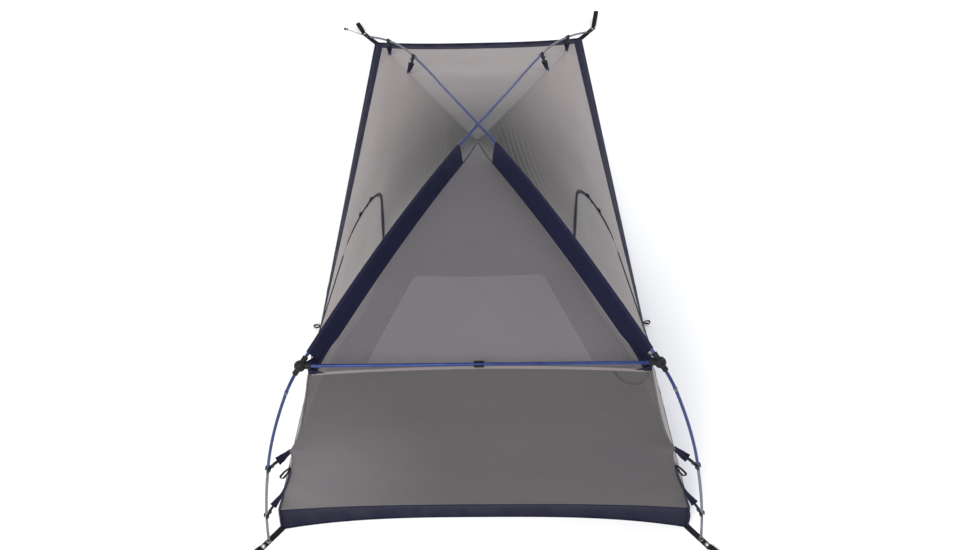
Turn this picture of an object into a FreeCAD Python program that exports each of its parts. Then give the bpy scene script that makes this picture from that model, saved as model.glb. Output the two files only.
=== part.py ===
"""Two-pole free-standing tent: inner tent of mesh with a bathtub floor, held up by two long
poles that cross over the roof and by a straight crossbar between two hubs.

Millimetres, +Z up, origin on the ground under the middle of the tent. The wide, tall end looks
along -Y and the foot end along +Y. Every piece on the right (+X) has a mirrored twin on the left.
"""
import FreeCAD, Part
import math
import os

import Sketcher
from FreeCAD import Matrix, Placement, Vector

os.makedirs("parts", exist_ok=True)
doc = FreeCAD.newDocument("frame_tent")

# ---------------------------------------------------------------- driving dimensions
SIZES = {
    # floor and fabric
    "floor_length": 2170, "front_width": 1400, "rear_width": 960, "fabric": 1.2, "seam_gap": 1.6,
    "front_wall_rise": 120, "rear_wall_rise": 50, "seam_stations": 8,
    # poles
    "pole_outer": 8.8, "pole_inner": 7.4, "hub_half_span": 457, "hub_height": 904,
    "hub_setback": 294, "tip_reach_front": 40, "tip_reach_rear": 37, "joint_gap": 0.3,
    "end_tube_length": 520, "elbow_length": 100, "crossing_lift": 8.5,
    "ferrule_outer": 7.3, "ferrule_inner": 6.3, "ferrule_length": 60, "shock_cord": 2.6,
    "tip_radius": 4.3, "tip_length": 34, "tip_pin_radius": 2.6,
    # hubs, clips and sleeves
    "hub_radius": 15, "socket_radius": 7.4, "socket_length": 28, "hub_standoff": 11,
    "clip_wall": 3.4, "clip_width": 18, "bar_clip_width": 26,
    "clip_clearance": 0.9, "clip_tail": 12, "clip_mouth": 70,
    "clip_low": 220, "clip_high": 540, "canopy_drop": 46, "canopy_tuck": 30,
    "sleeve_start": 150, "sleeve_end": 40, "sheath_inner": 10.4, "sheath_outer": 12.6,
    # doors and zips, in the frame of the door's own plane
    "door_hinge": -242, "door_arc_up": -70, "door_arc_radius": 172, "door_top": 310,
    "door_top_radius": 130, "door_front": -440, "door_corner": 50, "door_slope": 55,
    "zip_width": 8, "zip_rise": 1.4, "slider_length": 17, "slider_width": 9,
    "slider_lift": 2.0, "slider_rise": 4.5, "pull_length": 38, "pull_width": 4,
    # webbing, grommets and loops
    "webbing_width": 20, "webbing": 1.6, "grommet_outer": 8.5, "grommet_bore": 4.6,
    "grommet_rise": 3.4, "grommet_pitch": 26, "loop_length": 34, "loop_band": 5,
    # gear loft
    "loft_front_half": 300, "loft_rear_half": 178, "loft_depth": 260, "loft_drop": 70,
    # rear corner cord
    "cord_diameter": 3, "hook_length": 20,
}

sheet = doc.addObject("Spreadsheet::Sheet", "Sizes")
for row, (alias, value) in enumerate(SIZES.items(), start=1):
    sheet.set(f"A{row}", alias)
    sheet.set(f"B{row}", str(value))
    sheet.setAlias(f"B{row}", alias)
doc.recompute()


def size(alias):
    """The value of one named cell of the sheet."""
    return float(sheet.get(alias))


# ---------------------------------------------------------------- key points (right side)
HALF_LENGTH = size("floor_length") / 2
FLOOR_FRONT = Vector(size("front_width") / 2, -HALF_LENGTH, 0)
FLOOR_REAR = Vector(size("rear_width") / 2, HALF_LENGTH, 0)
HEM_FRONT = FLOOR_FRONT + Vector(-16, 45, size("front_wall_rise"))
HEM_REAR = FLOOR_REAR + Vector(-40, -75, size("rear_wall_rise"))
HUB = Vector(size("hub_half_span"), size("hub_setback") - HALF_LENGTH, size("hub_height"))
TIP_FRONT = FLOOR_FRONT + Vector(1, -1, 0) * size("tip_reach_front")
TIP_REAR = FLOOR_REAR + Vector(1, 1, 0) * size("tip_reach_rear")


def mirrored(point, side):
    """The point itself for side +1, its twin across the YZ plane for side -1."""
    return Vector(point.x * side, point.y, point.z)


def bezier(controls, t):
    """Point of the Bezier curve with these control points at parameter t, 0 to 1."""
    points = list(controls)
    while len(points) > 1:
        points = [a * (1 - t) + b * t for a, b in zip(points, points[1:])]
    return points[0]


class Route:
    """A curve in space that can be read by distance along it."""

    STEPS = 600

    def __init__(self, controls):
        self.points = [bezier(controls, i / self.STEPS) for i in range(self.STEPS + 1)]
        self.along = [0.0]
        for a, b in zip(self.points, self.points[1:]):
            self.along.append(self.along[-1] + a.distanceToPoint(b))
        self.length = self.along[-1]

    def at(self, distance):
        """Point this far along the curve."""
        for i in range(1, len(self.along)):
            if self.along[i] >= distance or i == len(self.along) - 1:
                span = self.along[i] - self.along[i - 1]
                share = (distance - self.along[i - 1]) / span
                return self.points[i - 1] * (1 - share) + self.points[i] * share

    def tangent(self, distance, step=2.0):
        """Unit direction of travel this far along the curve."""
        low = max(0.0, distance - step)
        high = min(self.length, distance + step)
        return (self.at(high) - self.at(low)).normalize()


def arch_route(side, lift):
    """Rear foot on the far side, over the roof, to the hub on this side.

    lift raises one pole and lowers the other where the two cross.
    """
    return Route([
        mirrored(TIP_REAR, -side),
        mirrored(Vector(-171, 784, 359), side),
        mirrored(Vector(-135, 293, 382 + lift), side),
        mirrored(Vector(-103, 170, 1042 + lift), side),
        mirrored(HUB, side),
    ])


def leg_route(side):
    """Hub down to the front foot on the same side, bending outwards first."""
    return Route([
        mirrored(HUB, side),
        mirrored(HUB + Vector(136, -130, -151), side),
        mirrored(TIP_FRONT + Vector(-21, 35, 137), side),
        mirrored(TIP_FRONT, side),
    ])


ARCH = {side: arch_route(side, side * size("crossing_lift")) for side in (1, -1)}
LEG = {side: leg_route(side) for side in (1, -1)}


def crossing_distance(route):
    """Distance from the rear foot to where the pole passes over the tent's middle line."""
    crossing = min(range(len(route.points)), key=lambda i: abs(route.points[i].x))
    return route.along[crossing]


SEAM_ROUTE = arch_route(1, 0)


def seam_under(share):
    """Edge of the cloth below the right pole, 0 under the crossing and 1 at the hub.

    It hangs below the pole and is tucked in towards the middle, as the sleeve is.
    """
    crossing = crossing_distance(SEAM_ROUTE)
    distance = crossing + (SEAM_ROUTE.length - crossing) * share
    ahead = SEAM_ROUTE.tangent(distance)
    inward = Vector(ahead.y, -ahead.x, 0).normalize()
    tuck = size("canopy_tuck") * min(1, 0.55 + 3 * share, 0.5 + 4 * (1 - share))
    return SEAM_ROUTE.at(distance) + inward * tuck - Vector(0, 0, size("canopy_drop"))


# The two edges meet on the middle line a little in front of the crossing.
APEX_SHARE = next(i / 500 for i in range(500) if seam_under(i / 500).x >= 0)


def roof_seam(share):
    """Edge of the roof on the right, 0 at the apex and 1 at the hub."""
    return seam_under(APEX_SHARE + (1 - APEX_SHARE) * share)


STATIONS = int(size("seam_stations"))
ROOF_SEAM = [roof_seam(i / STATIONS) for i in range(STATIONS + 1)]
APEX = Vector(0, ROOF_SEAM[0].y, ROOF_SEAM[0].z)
ROOF_SEAM[0] = APEX
HUB_SEAM = ROOF_SEAM[-1]


# ---------------------------------------------------------------- building blocks
def basis(origin, x_axis, z_axis):
    """Placement whose local X and Z lie along these directions."""
    z_dir = Vector(z_axis).normalize()
    x_dir = (x_axis - z_dir * x_axis.dot(z_dir)).normalize()
    y_dir = z_dir.cross(x_dir)
    return Placement(Matrix(
        x_dir.x, y_dir.x, z_dir.x, origin.x,
        x_dir.y, y_dir.y, z_dir.y, origin.y,
        x_dir.z, y_dir.z, z_dir.z, origin.z,
        0, 0, 0, 1))


def across(direction):
    """Any direction that is square to this one, level where it can be."""
    level = Vector(0, 0, 1).cross(direction)
    return level if level.Length > 0.1 else Vector(1, 0, 0)


def line(a, b):
    return Part.LineSegment(Vector(a[0], a[1], 0), Vector(b[0], b[1], 0))


def loop(points):
    """Closed chain of straight sketch lines."""
    return [line(a, b) for a, b in zip(points, points[1:] + points[:1])]


def arc(centre, radius, start, end):
    """Counter-clockwise sketch arc, angles in degrees."""
    circle = Part.Circle(Vector(centre[0], centre[1], 0), Vector(0, 0, 1), radius)
    return Part.ArcOfCircle(circle, math.radians(start), math.radians(end))


def ring(centre, radius):
    return Part.Circle(Vector(centre[0], centre[1], 0), Vector(0, 0, 1), radius)


def spot(centre, radius, angle):
    """Point at this angle, in degrees, on a circle of a sketch."""
    turn = math.radians(angle)
    return (centre[0] + radius * math.cos(turn), centre[1] + radius * math.sin(turn))


def new_sketch(body, plane, geometry):
    """Sketch with this geometry on one of the body's own origin planes."""
    sketch = body.newObject("Sketcher::SketchObject", body.Name + "_sketch")
    planes = [f for f in body.Origin.OriginFeatures if f.Role == plane]
    sketch.AttachmentSupport = [(planes[0], "")]
    sketch.MapMode = "FlatFace"
    sketch.addGeometry(geometry, False)
    return sketch


def pad(name, geometry, thickness, placement, both_ways=False):
    """Body made by padding a sketch by a named thickness along its local +Z."""
    body = doc.addObject("PartDesign::Body", name)
    sketch = new_sketch(body, "XY_Plane", geometry)
    feature = body.newObject("PartDesign::Pad", name + "_pad")
    feature.Profile = sketch
    feature.setExpression("Length", f"Sizes.{thickness}")
    feature.Midplane = both_ways
    sketch.Visibility = False
    body.Placement = placement
    return body


def plane_frame(corners):
    """Placement with its origin at the first corner, X to the second and Z out of the face."""
    along = corners[1] - corners[0]
    normal = along.cross(corners[2] - corners[0])
    return basis(corners[0], along, normal)


def flat(placement, points):
    """Points of space as (x, y) pairs in the plane of a placement."""
    inverse = placement.inverse()
    local = [inverse.multVec(p) for p in points]
    return [(p.x, p.y) for p in local]


def inset(points, distance):
    """Convex outline, given counter-clockwise, with every side moved inwards."""
    result = []
    count = len(points)
    for i in range(count):
        before, here, after = points[i - 1], points[i], points[(i + 1) % count]
        into = Vector(here[0] - before[0], here[1] - before[1], 0).normalize()
        out = Vector(after[0] - here[0], after[1] - here[1], 0).normalize()
        normal_in = Vector(-into.y, into.x, 0)
        normal_out = Vector(-out.y, out.x, 0)
        bisector = normal_in + normal_out
        shift = bisector * (2 * distance / bisector.dot(bisector))
        result.append((here[0] + shift.x, here[1] + shift.y))
    return result


def fabric_panel(name, corners):
    """Flat panel of cloth. Corners run counter-clockwise seen from outside the tent,
    and the cloth's thickness goes inwards from their plane."""
    face = plane_frame(corners)
    outline = inset(flat(face, corners), size("seam_gap"))
    inner = face.multiply(Placement(Vector(0, 0, -size("fabric")), FreeCAD.Rotation()))
    return pad(name, loop(outline), "fabric", inner)


def pulled_in(points, distance):
    """Outline moved towards its own middle, so that neighbouring panels keep a seam gap."""
    middle = sum(points, Vector()) * (1 / len(points))
    return [p + (middle - p).normalize() * distance for p in points]


def folded_panel(name, faces, thickness):
    """One solid of cloth with flat facets: the faces, given counter-clockwise seen from
    outside, their copies moved by the thickness vector, and the walls round the rim."""
    def key(point):
        return (round(point.x, 4), round(point.y, 4), round(point.z, 4))

    def face(points):
        return Part.Face(Part.makePolygon(points + points[:1]))

    edges = {}
    for points in faces:
        for a, b in zip(points, points[1:] + points[:1]):
            edges[(key(a), key(b))] = (a, b)
    skin = [face(points) for points in faces]
    skin += [face([p + thickness for p in reversed(points)]) for points in faces]
    for (a_key, b_key), (a, b) in edges.items():
        if (b_key, a_key) not in edges:
            skin.append(face([b, a, a + thickness, b + thickness]))
    shell = Part.makeShell(skin)
    shell.sewShape()
    solid = Part.makeSolid(shell)
    if solid.Volume < 0:
        solid.reverse()
    feature = doc.addObject("Part::Feature", name)
    feature.Shape = solid
    return feature


def triangles_between(outer, inner, frame):
    """Triangles that fill the ring between two loops, both counter-clockwise round the
    frame's origin. The two loops are walked together, by angle in the frame's plane."""
    back = frame.inverse()

    def turns(points):
        """Angle of each corner, counted on from the first outer corner, and a full turn."""
        flat_points = [back.multVec(p) for p in [outer[0]] + points]
        start = math.atan2(flat_points[0].y, flat_points[0].x) - 0.2
        angles = [(math.atan2(p.y, p.x) - start) % (2 * math.pi) for p in flat_points[1:]]
        return angles + [angles[0] + 2 * math.pi]

    outer_turns, inner_turns = turns(outer), turns(inner)
    faces = []
    i, j = 0, 0
    while i < len(outer) or j < len(inner):
        out_here, out_next = outer[i % len(outer)], outer[(i + 1) % len(outer)]
        in_here, in_next = inner[j % len(inner)], inner[(j + 1) % len(inner)]
        inner_done, outer_done = j >= len(inner), i >= len(outer)
        if inner_done or (not outer_done and outer_turns[i + 1] < inner_turns[j + 1]):
            faces.append([out_here, out_next, in_here])
            i += 1
        else:
            faces.append([out_here, in_next, in_here])
            j += 1
    return faces


def join(name, parts):
    """One solid from several that overlap or touch."""
    feature = doc.addObject("Part::MultiFuse", name)
    feature.Shapes = parts
    feature.Refine = False
    return feature


def group(name, parts):
    """Separate, alike solids that share one node."""
    feature = doc.addObject("Part::Compound", name)
    feature.Links = parts
    return feature


def cut(name, base, tool):
    feature = doc.addObject("Part::Cut", name)
    feature.Base = base
    feature.Tool = tool
    return feature


def cylinder(name, start, direction, radius, height):
    """Cylinder from a point along a direction, sizes given as sheet expressions."""
    feature = doc.addObject("Part::Cylinder", name)
    feature.setExpression("Radius", radius)
    feature.setExpression("Height", height)
    feature.Placement = basis(start, across(direction), direction)
    return feature


def arc_tube(name, route, start, end, outer, inner=None):
    """Tube along the circular arc through a route's start, middle and end."""
    first, middle, last = (route.at(d) for d in (start, (start + end) / 2, end))
    edge = Part.Arc(first, middle, last).toShape()
    circle = edge.Curve
    centre = circle.Center
    axis = (first - centre).cross(middle - centre)
    body = doc.addObject("PartDesign::Body", name)
    radii = [outer] if inner is None else [outer, inner]
    sketch = new_sketch(body, "XZ_Plane", [ring((circle.Radius, 0), size(r) / 2) for r in radii])
    for index, alias in enumerate(radii):
        number = sketch.addConstraint(Sketcher.Constraint("Radius", index, size(alias) / 2))
        sketch.setExpression(f"Constraints[{number}]", f"Sizes.{alias} / 2")
        sketch.addConstraint(Sketcher.Constraint("PointOnObject", index, 3, -1))
        sketch.addConstraint(Sketcher.Constraint("DistanceX", -1, 1, index, 3, circle.Radius))
    feature = body.newObject("PartDesign::Revolution", name + "_bend")
    feature.Profile = sketch
    axes = [f for f in body.Origin.OriginFeatures if f.Role == "Z_Axis"]
    feature.ReferenceAxis = (axes[0], [""])
    feature.Angle = math.degrees(edge.Length / circle.Radius)
    sketch.Visibility = False
    body.Placement = basis(centre, first - centre, axis)
    return body


nodes = []


def node(feature, label):
    """Mark a feature as one finished sub-part."""
    feature.Label = label
    nodes.append(feature)
    return feature


SIDES = ((1, "right"), (-1, "left"))
POLE_NAMES = {1: "pole_a", -1: "pole_b"}
HUB_STANDOFF = size("hub_standoff")


# ---------------------------------------------------------------- poles
def pole_stations(route, first_length, count):
    """Distances where a stretch of pole is jointed: one end tube, then equal tubes."""
    rest = (route.length - HUB_STANDOFF - first_length) / count
    return [first_length + i * rest for i in range(count + 1)]


def build_pole(side):
    """Silver end tubes, blue tubes, a pre-bent elbow, ferrules, tips and the shock cord."""
    name = POLE_NAMES[side]
    arch, leg = ARCH[side], LEG[side]
    gap = size("joint_gap")
    end_length = size("end_tube_length")
    tip_out = size("tip_length") - 12
    stations = pole_stations(arch, end_length, 4)
    rear_end = arc_tube(f"{name}_end_rear", arch, tip_out, end_length, "pole_outer", "pole_inner")
    blue = []
    for i, (low, high) in enumerate(zip(stations, stations[1:])):
        blue.append(arc_tube(f"{name}_tube_{i}", arch, low + gap, high, "pole_outer", "pole_inner"))
    bend_end = size("elbow_length")
    leg_joint = leg.length - end_length
    elbow = arc_tube(f"{name}_elbow_0", leg, HUB_STANDOFF, bend_end, "pole_outer", "pole_inner")
    lower = arc_tube(f"{name}_tube_leg", leg, bend_end + gap, leg_joint, "pole_outer", "pole_inner")
    front_end = arc_tube(f"{name}_end_front", leg, leg_joint + gap, leg.length - tip_out,
                         "pole_outer", "pole_inner")
    node(group(f"{name}_end_tubes_group", [rear_end, front_end]), f"{name}_end_tubes")
    node(group(f"{name}_roof_tubes_group", blue), f"{name}_roof_tubes")
    node(elbow, f"{name}_elbow")
    node(lower, f"{name}_leg_tube")
    half = size("ferrule_length") / 2
    ferrules = [arc_tube(f"{name}_ferrule_{i}", arch, s - half, s + half,
                         "ferrule_outer", "ferrule_inner") for i, s in enumerate(stations[:-1])]
    ferrules += [arc_tube(f"{name}_ferrule_leg_{i}", leg, s - half, s + half,
                          "ferrule_outer", "ferrule_inner") for i, s in enumerate((bend_end, leg_joint))]
    cords = []
    for i, (low, high) in enumerate(zip([tip_out + 12] + stations[:-1], stations)):
        cords.append(arc_tube(f"{name}_cord_{i}", arch, low, high, "shock_cord"))
    leg_cuts = [HUB_STANDOFF, bend_end, leg_joint, leg.length - tip_out - 12]
    for i, (low, high) in enumerate(zip(leg_cuts, leg_cuts[1:])):
        cords.append(arc_tube(f"{name}_cord_leg_{i}", leg, low, high, "shock_cord"))
    return ferrules, cords


def build_tip(name, route, at_start):
    """Moulded pole foot: a plug in the tube, a collar and a pin that stands in the grommet."""
    length = size("tip_length")
    if at_start:
        end = route.at(0)
        direction = route.tangent(10)
        start = route.at(length - 12)
    else:
        end = route.at(route.length)
        direction = route.tangent(route.length - 10) * -1
        start = route.at(route.length - length + 12)
    upward = (start - end).normalize()
    pin_end = end + Vector(0, 0, 1.0)
    pin = cylinder(f"{name}_pin", pin_end, Vector(0, 0, 1), "Sizes.tip_pin_radius", "12")
    collar = cylinder(f"{name}_collar", start - upward * 12.3, upward, "Sizes.tip_radius", "12")
    plug = cylinder(f"{name}_plug", start - upward * 1, direction, "Sizes.pole_inner / 2 - 0.3", "12")
    ball = doc.addObject("Part::Sphere", f"{name}_ball")
    ball.setExpression("Radius", "Sizes.tip_radius")
    ball.Placement.Base = end + Vector(0, 0, 10)
    return join(name, [pin, collar, plug, ball])


ferrules, cords, tips = [], [], []
for side, word in SIDES:
    side_ferrules, side_cords = build_pole(side)
    ferrules += side_ferrules
    cords += side_cords
    tips.append(build_tip(f"tip_rear_{word}", ARCH[-side], True))
    tips.append(build_tip(f"tip_front_{word}", LEG[side], False))
node(group("ferrules_group", ferrules), "pole_ferrules")
node(group("shock_cord_group", cords), "pole_shock_cords")
node(group("tips_group", tips), "pole_tips")


# ---------------------------------------------------------------- hubs and crossbar
def build_hub(side, word):
    """Moulded hub: a round boss with three sockets, for the roof tube, the leg and the crossbar."""
    centre = mirrored(HUB, side)
    directions = {
        "roof": ARCH[side].tangent(ARCH[side].length) * -1,
        "leg": LEG[side].tangent(0),
        "bar": Vector(-side, 0, 0),
    }
    boss = doc.addObject("Part::Sphere", f"hub_boss_{word}")
    boss.setExpression("Radius", "Sizes.hub_radius")
    boss.Placement.Base = centre
    solids = [boss]
    bores = []
    for key, direction in directions.items():
        solids.append(cylinder(f"hub_{key}_{word}", centre, direction,
                               "Sizes.socket_radius", "Sizes.socket_length"))
        bores.append(cylinder(f"hub_{key}_bore_{word}", centre + direction * (HUB_STANDOFF - 1),
                              direction, "Sizes.pole_outer / 2 + 0.05", "Sizes.socket_length"))
    hub = cut(f"hub_cut_{word}", join(f"hub_solid_{word}", solids),
              join(f"hub_bores_{word}", bores))
    return node(hub, f"hub_{word}")


for side, word in SIDES:
    build_hub(side, word)

bar_left = mirrored(HUB, -1) + Vector(HUB_STANDOFF, 0, 0)
bar_middle = Vector(0, HUB.y, HUB.z)
BAR_HALF = "Sizes.hub_half_span - 11.2"
bar_tubes = []
for index, start in enumerate((bar_left, bar_middle + Vector(0.2, 0, 0))):
    skin_tube = cylinder(f"bar_skin_{index}", start, Vector(1, 0, 0), "Sizes.pole_outer / 2", BAR_HALF)
    bore_tube = cylinder(f"bar_bore_{index}", start, Vector(1, 0, 0), "Sizes.pole_inner / 2", BAR_HALF)
    bar_tubes.append(cut(f"bar_tube_{index}", skin_tube, bore_tube))
node(group("bar_group", bar_tubes), "crossbar_tubes")
bar_ferrule_start = bar_middle - Vector(35, 0, 0)
node(cut("bar_ferrule_cut",
         cylinder("bar_ferrule_skin", bar_ferrule_start, Vector(1, 0, 0), "Sizes.ferrule_outer / 2", "70"),
         cylinder("bar_ferrule_bore", bar_ferrule_start, Vector(1, 0, 0), "Sizes.ferrule_inner / 2", "70")),
     "crossbar_ferrule")
node(cylinder("bar_cord", bar_left, Vector(1, 0, 0), "Sizes.shock_cord / 2",
              "2 * (Sizes.hub_half_span - 11)"), "crossbar_shock_cord")


# ---------------------------------------------------------------- clips
CLIP_INNER = size("pole_outer") / 2 + size("clip_clearance")
CLIP_OUTER = CLIP_INNER + size("clip_wall")


def clip_reach():
    """Distance from the pole's middle to the end of a clip's tail."""
    return CLIP_OUTER + size("clip_tail")


def clip_outline():
    """C-shaped hook open on one side, with a tail towards local -Y for the webbing."""
    inner, outer = CLIP_INNER, CLIP_OUTER
    half_mouth = size("clip_mouth") / 2
    start, end = 90 + half_mouth, 90 - half_mouth + 360
    tail_half = 2.0
    tail_angle = math.degrees(math.asin(tail_half / outer))

    left_root = spot((0, 0), outer, 270 - tail_angle)
    right_root = spot((0, 0), outer, 270 + tail_angle)
    tail_y = -clip_reach()
    return [
        arc((0, 0), inner, start, end),
        line(spot((0, 0), inner, end), spot((0, 0), outer, end)),
        arc((0, 0), outer, 270 + tail_angle, end),
        line(right_root, (right_root[0], tail_y)),
        line((right_root[0], tail_y), (left_root[0], tail_y)),
        line((left_root[0], tail_y), left_root),
        arc((0, 0), outer, start, 270 - tail_angle),
        line(spot((0, 0), outer, start), spot((0, 0), inner, start)),
    ]


def build_clip(name, centre, direction, towards, width="clip_width"):
    """Hook clip round a pole, its tail pointing at the canopy."""
    tail = (towards - centre).normalize()
    x_axis = tail.cross(direction) * -1
    placement = basis(centre, x_axis, direction)
    return pad(name, clip_outline(), width, placement, both_ways=True)


def seam_point(side, share):
    """Point on the front edge between side wall and front wall, 0 at the hem, 1 at the hub."""
    return mirrored(HEM_FRONT * (1 - share) + HUB_SEAM * share, side)


def ridge_point(side, share):
    """Point on the rear edge between side wall and back wall, 0 at the hem, 1 at the apex."""
    return mirrored(HEM_REAR * (1 - share) + APEX * share, side)


def build_tab(name, tip, seam, edge_direction, half_width):
    """Triangular tab sewn into a seam, its point at a clip."""
    spread = edge_direction * half_width
    corners = [seam - spread, seam + spread, tip]
    return pad(name, loop(inset(flat(plane_frame(corners), corners), 0.4)), "fabric",
               plane_frame(corners))


clips_front, clips_rear, tabs_front, tabs_rear, guy_loops = [], [], [], [], []
for side, word in SIDES:
    edge = (seam_point(side, 1) - seam_point(side, 0)).normalize()
    for level, share in (("low", 0.17), ("high", 0.50)):
        distance = LEG[side].length - size(f"clip_{level}")
        centre = LEG[side].at(distance)
        seam = seam_point(side, share)
        name = f"clip_front_{level}_{word}"
        clips_front.append(build_clip(name, centre, LEG[side].tangent(distance), seam))
        tail_end = centre + (seam - centre).normalize() * (clip_reach() + 0.4)
        tabs_front.append(build_tab(f"tab_front_{level}_{word}", tail_end, seam, edge, 26))
    ridge = (ridge_point(side, 1) - ridge_point(side, 0)).normalize()
    for level, share in (("low", 0.13), ("high", 0.36)):
        distance = size(f"clip_{level}")
        centre = ARCH[-side].at(distance)
        seam = ridge_point(side, share)
        name = f"clip_rear_{level}_{word}"
        clips_rear.append(build_clip(name, centre, ARCH[-side].tangent(distance), seam))
        tail_end = centre + (seam - centre).normalize() * (clip_reach() + 0.4)
        tabs_rear.append(build_tab(f"tab_rear_{level}_{word}", tail_end, seam, ridge, 24))
node(group("clips_front_group", clips_front), "pole_clips_front")
node(group("clips_rear_group", clips_rear), "pole_clips_rear")
node(group("tabs_front_group", tabs_front), "clip_tabs_front")
node(group("tabs_rear_group", tabs_rear), "clip_tabs_rear")
node(build_clip("bar_clip", bar_middle, Vector(1, 0, 0), bar_middle + Vector(0, 4, -30),
                "bar_clip_width"), "crossbar_clip")


# ---------------------------------------------------------------- floor and canopy
floor_corners = [mirrored(FLOOR_FRONT, -1), FLOOR_FRONT, FLOOR_REAR, mirrored(FLOOR_REAR, -1)]
floor_place = Placement()
node(pad("floor_body", loop(inset(flat(floor_place, floor_corners), 0.2)), "fabric", floor_place),
     "floor_sheet")

CLOTH = size("fabric")
hem_lift = Vector(0, 0, CLOTH + 0.3)
front_strip = [mirrored(FLOOR_FRONT, -1) + hem_lift, FLOOR_FRONT + hem_lift,
               HEM_FRONT, mirrored(HEM_FRONT, -1)]
node(fabric_panel("bathtub_front_body", front_strip), "bathtub_front")
rear_strip = [FLOOR_REAR + hem_lift, mirrored(FLOOR_REAR, -1) + hem_lift,
              mirrored(HEM_REAR, -1), HEM_REAR]
node(fabric_panel("bathtub_rear_body", rear_strip), "bathtub_rear")
front_wall = [mirrored(HEM_FRONT, -1), HEM_FRONT, HUB_SEAM, mirrored(HUB_SEAM, -1)]
node(fabric_panel("front_wall_body", front_wall), "wall_front")
back_wall = [HEM_REAR, mirrored(HEM_REAR, -1), APEX]
node(fabric_panel("back_wall_body", back_wall), "wall_back")


def roof_faces(gap):
    """Level strips between the two roof seams, from the apex to the front."""
    rows = [Vector(max(0, p.x - gap), p.y, p.z) for p in ROOF_SEAM]
    rows[0] = rows[0] - Vector(0, 2 * gap, 0)
    faces = [[rows[0], mirrored(rows[1], -1), rows[1]]]
    for back, front in zip(rows[1:], rows[2:]):
        faces.append([back, mirrored(back, -1), mirrored(front, -1), front])
    return faces


node(folded_panel("roof_shape", roof_faces(2 * size("seam_gap")), Vector(0, 0, -CLOTH)), "roof_panel")


# ---------------------------------------------------------------- side walls and doors
DOOR_CENTRE = Vector(395, -133, 403)
DOOR_NORMAL = Vector(0.844, 0.202, 0.496)


def door_frame(side):
    """Frame of the door's plane: X towards the rear along the hem, Y up the wall.

    Z points out of the tent on the right and into it on the left, where the frame is the
    mirror twin turned back into a right-handed one.
    """
    normal = mirrored(DOOR_NORMAL, side)
    hem = mirrored(HEM_REAR - HEM_FRONT, side)
    return basis(mirrored(DOOR_CENTRE, side), hem, normal * side)


def in_frame(frame, depth):
    """The same frame moved along its own Z."""
    return frame.multiply(Placement(Vector(0, 0, depth), FreeCAD.Rotation()))


def door_sides(grow, trim=0):
    """The D from the rear end of its hinge line up, over and down to the front end.

    It is enlarged by grow, and trim, in degrees, is left off its first and last arcs.
    """
    slope = size("door_slope")
    rear_centre = (0, size("door_arc_up"))
    rear_radius, top_radius = size("door_arc_radius"), size("door_top_radius")
    top_y = size("door_top") - top_radius
    rise = top_y - rear_centre[1] - (rear_radius - top_radius) * math.sin(math.radians(slope))
    shift = rise * math.tan(math.radians(slope))
    shoulder = ((rear_radius - top_radius) * math.cos(math.radians(slope)) - shift, top_y)
    front_x = size("door_front") + top_radius
    corner = size("door_corner")
    low_corner = (size("door_front") + corner, size("door_hinge") + corner)
    rear_radius, top_radius, corner = rear_radius + grow, top_radius + grow, corner + grow
    return [
        arc(rear_centre, rear_radius, -90 + trim, slope),
        line(spot(rear_centre, rear_radius, slope), spot(shoulder, top_radius, slope)),
        arc(shoulder, top_radius, slope, 90),
        line((shoulder[0], top_y + top_radius), (front_x, top_y + top_radius)),
        arc((front_x, top_y), top_radius, 90, 180),
        line((front_x - top_radius, top_y), (low_corner[0] - corner, low_corner[1])),
        arc(low_corner, corner, 180, 270 - trim),
    ]


def door_outline(grow):
    """The whole D, closed along its hinge line and enlarged by grow on every side."""
    hinge = size("door_hinge") - grow
    return door_sides(grow) + [line((size("door_front") + size("door_corner"), hinge), (0, hinge))]


ZIP_TRIM = 18


def zip_band(outer, inner):
    """Closed band between two enlargements of the D, open along the hinge line."""
    low_corner = (size("door_front") + size("door_corner"), size("door_hinge") + size("door_corner"))
    ends = []
    for centre, radius, angle in (
            ((0, size("door_arc_up")), size("door_arc_radius"), -90 + ZIP_TRIM),
            (low_corner, size("door_corner"), 270 - ZIP_TRIM)):
        ends.append(line(spot(centre, radius + outer, angle), spot(centre, radius + inner, angle)))
    return door_sides(outer, ZIP_TRIM) + door_sides(inner, ZIP_TRIM) + ends


DOOR_FACET = [(-478, -280), (60, -280), (217, -150), (214, -10), (132, 105),
              (-180, 350), (-340, 352), (-486, 250)]


def between(a, b, count):
    """Points that divide the way from a to b, without b itself."""
    return [a + (b - a) * (i / count) for i in range(count)]


def side_faces(side):
    """Facets of a side wall: the flat one that holds the doorway, and triangles from it out
    to the hem, the rear ridge, the roof seam and the front edge."""
    front, rear, apex, hub = HEM_FRONT, HEM_REAR, APEX, HUB_SEAM
    rim = between(front, rear, 4) + between(rear, apex, 3)
    rim += ROOF_SEAM[:-1] + between(hub, front, 2)
    rim = pulled_in(rim, 2 * size("seam_gap"))
    frame = door_frame(1)
    facet = [frame.multVec(Vector(x, y, 0)) for x, y in DOOR_FACET]
    faces = triangles_between(rim, facet, frame) + [facet]
    if side > 0:
        return faces
    return [[mirrored(p, -1) for p in reversed(points)] for points in faces]


# Where the two sliders of a door sit on the rear arc of its zip, in degrees.
SLIDER_ANGLES = {"low": -30.0, "high": 2.0}


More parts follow.
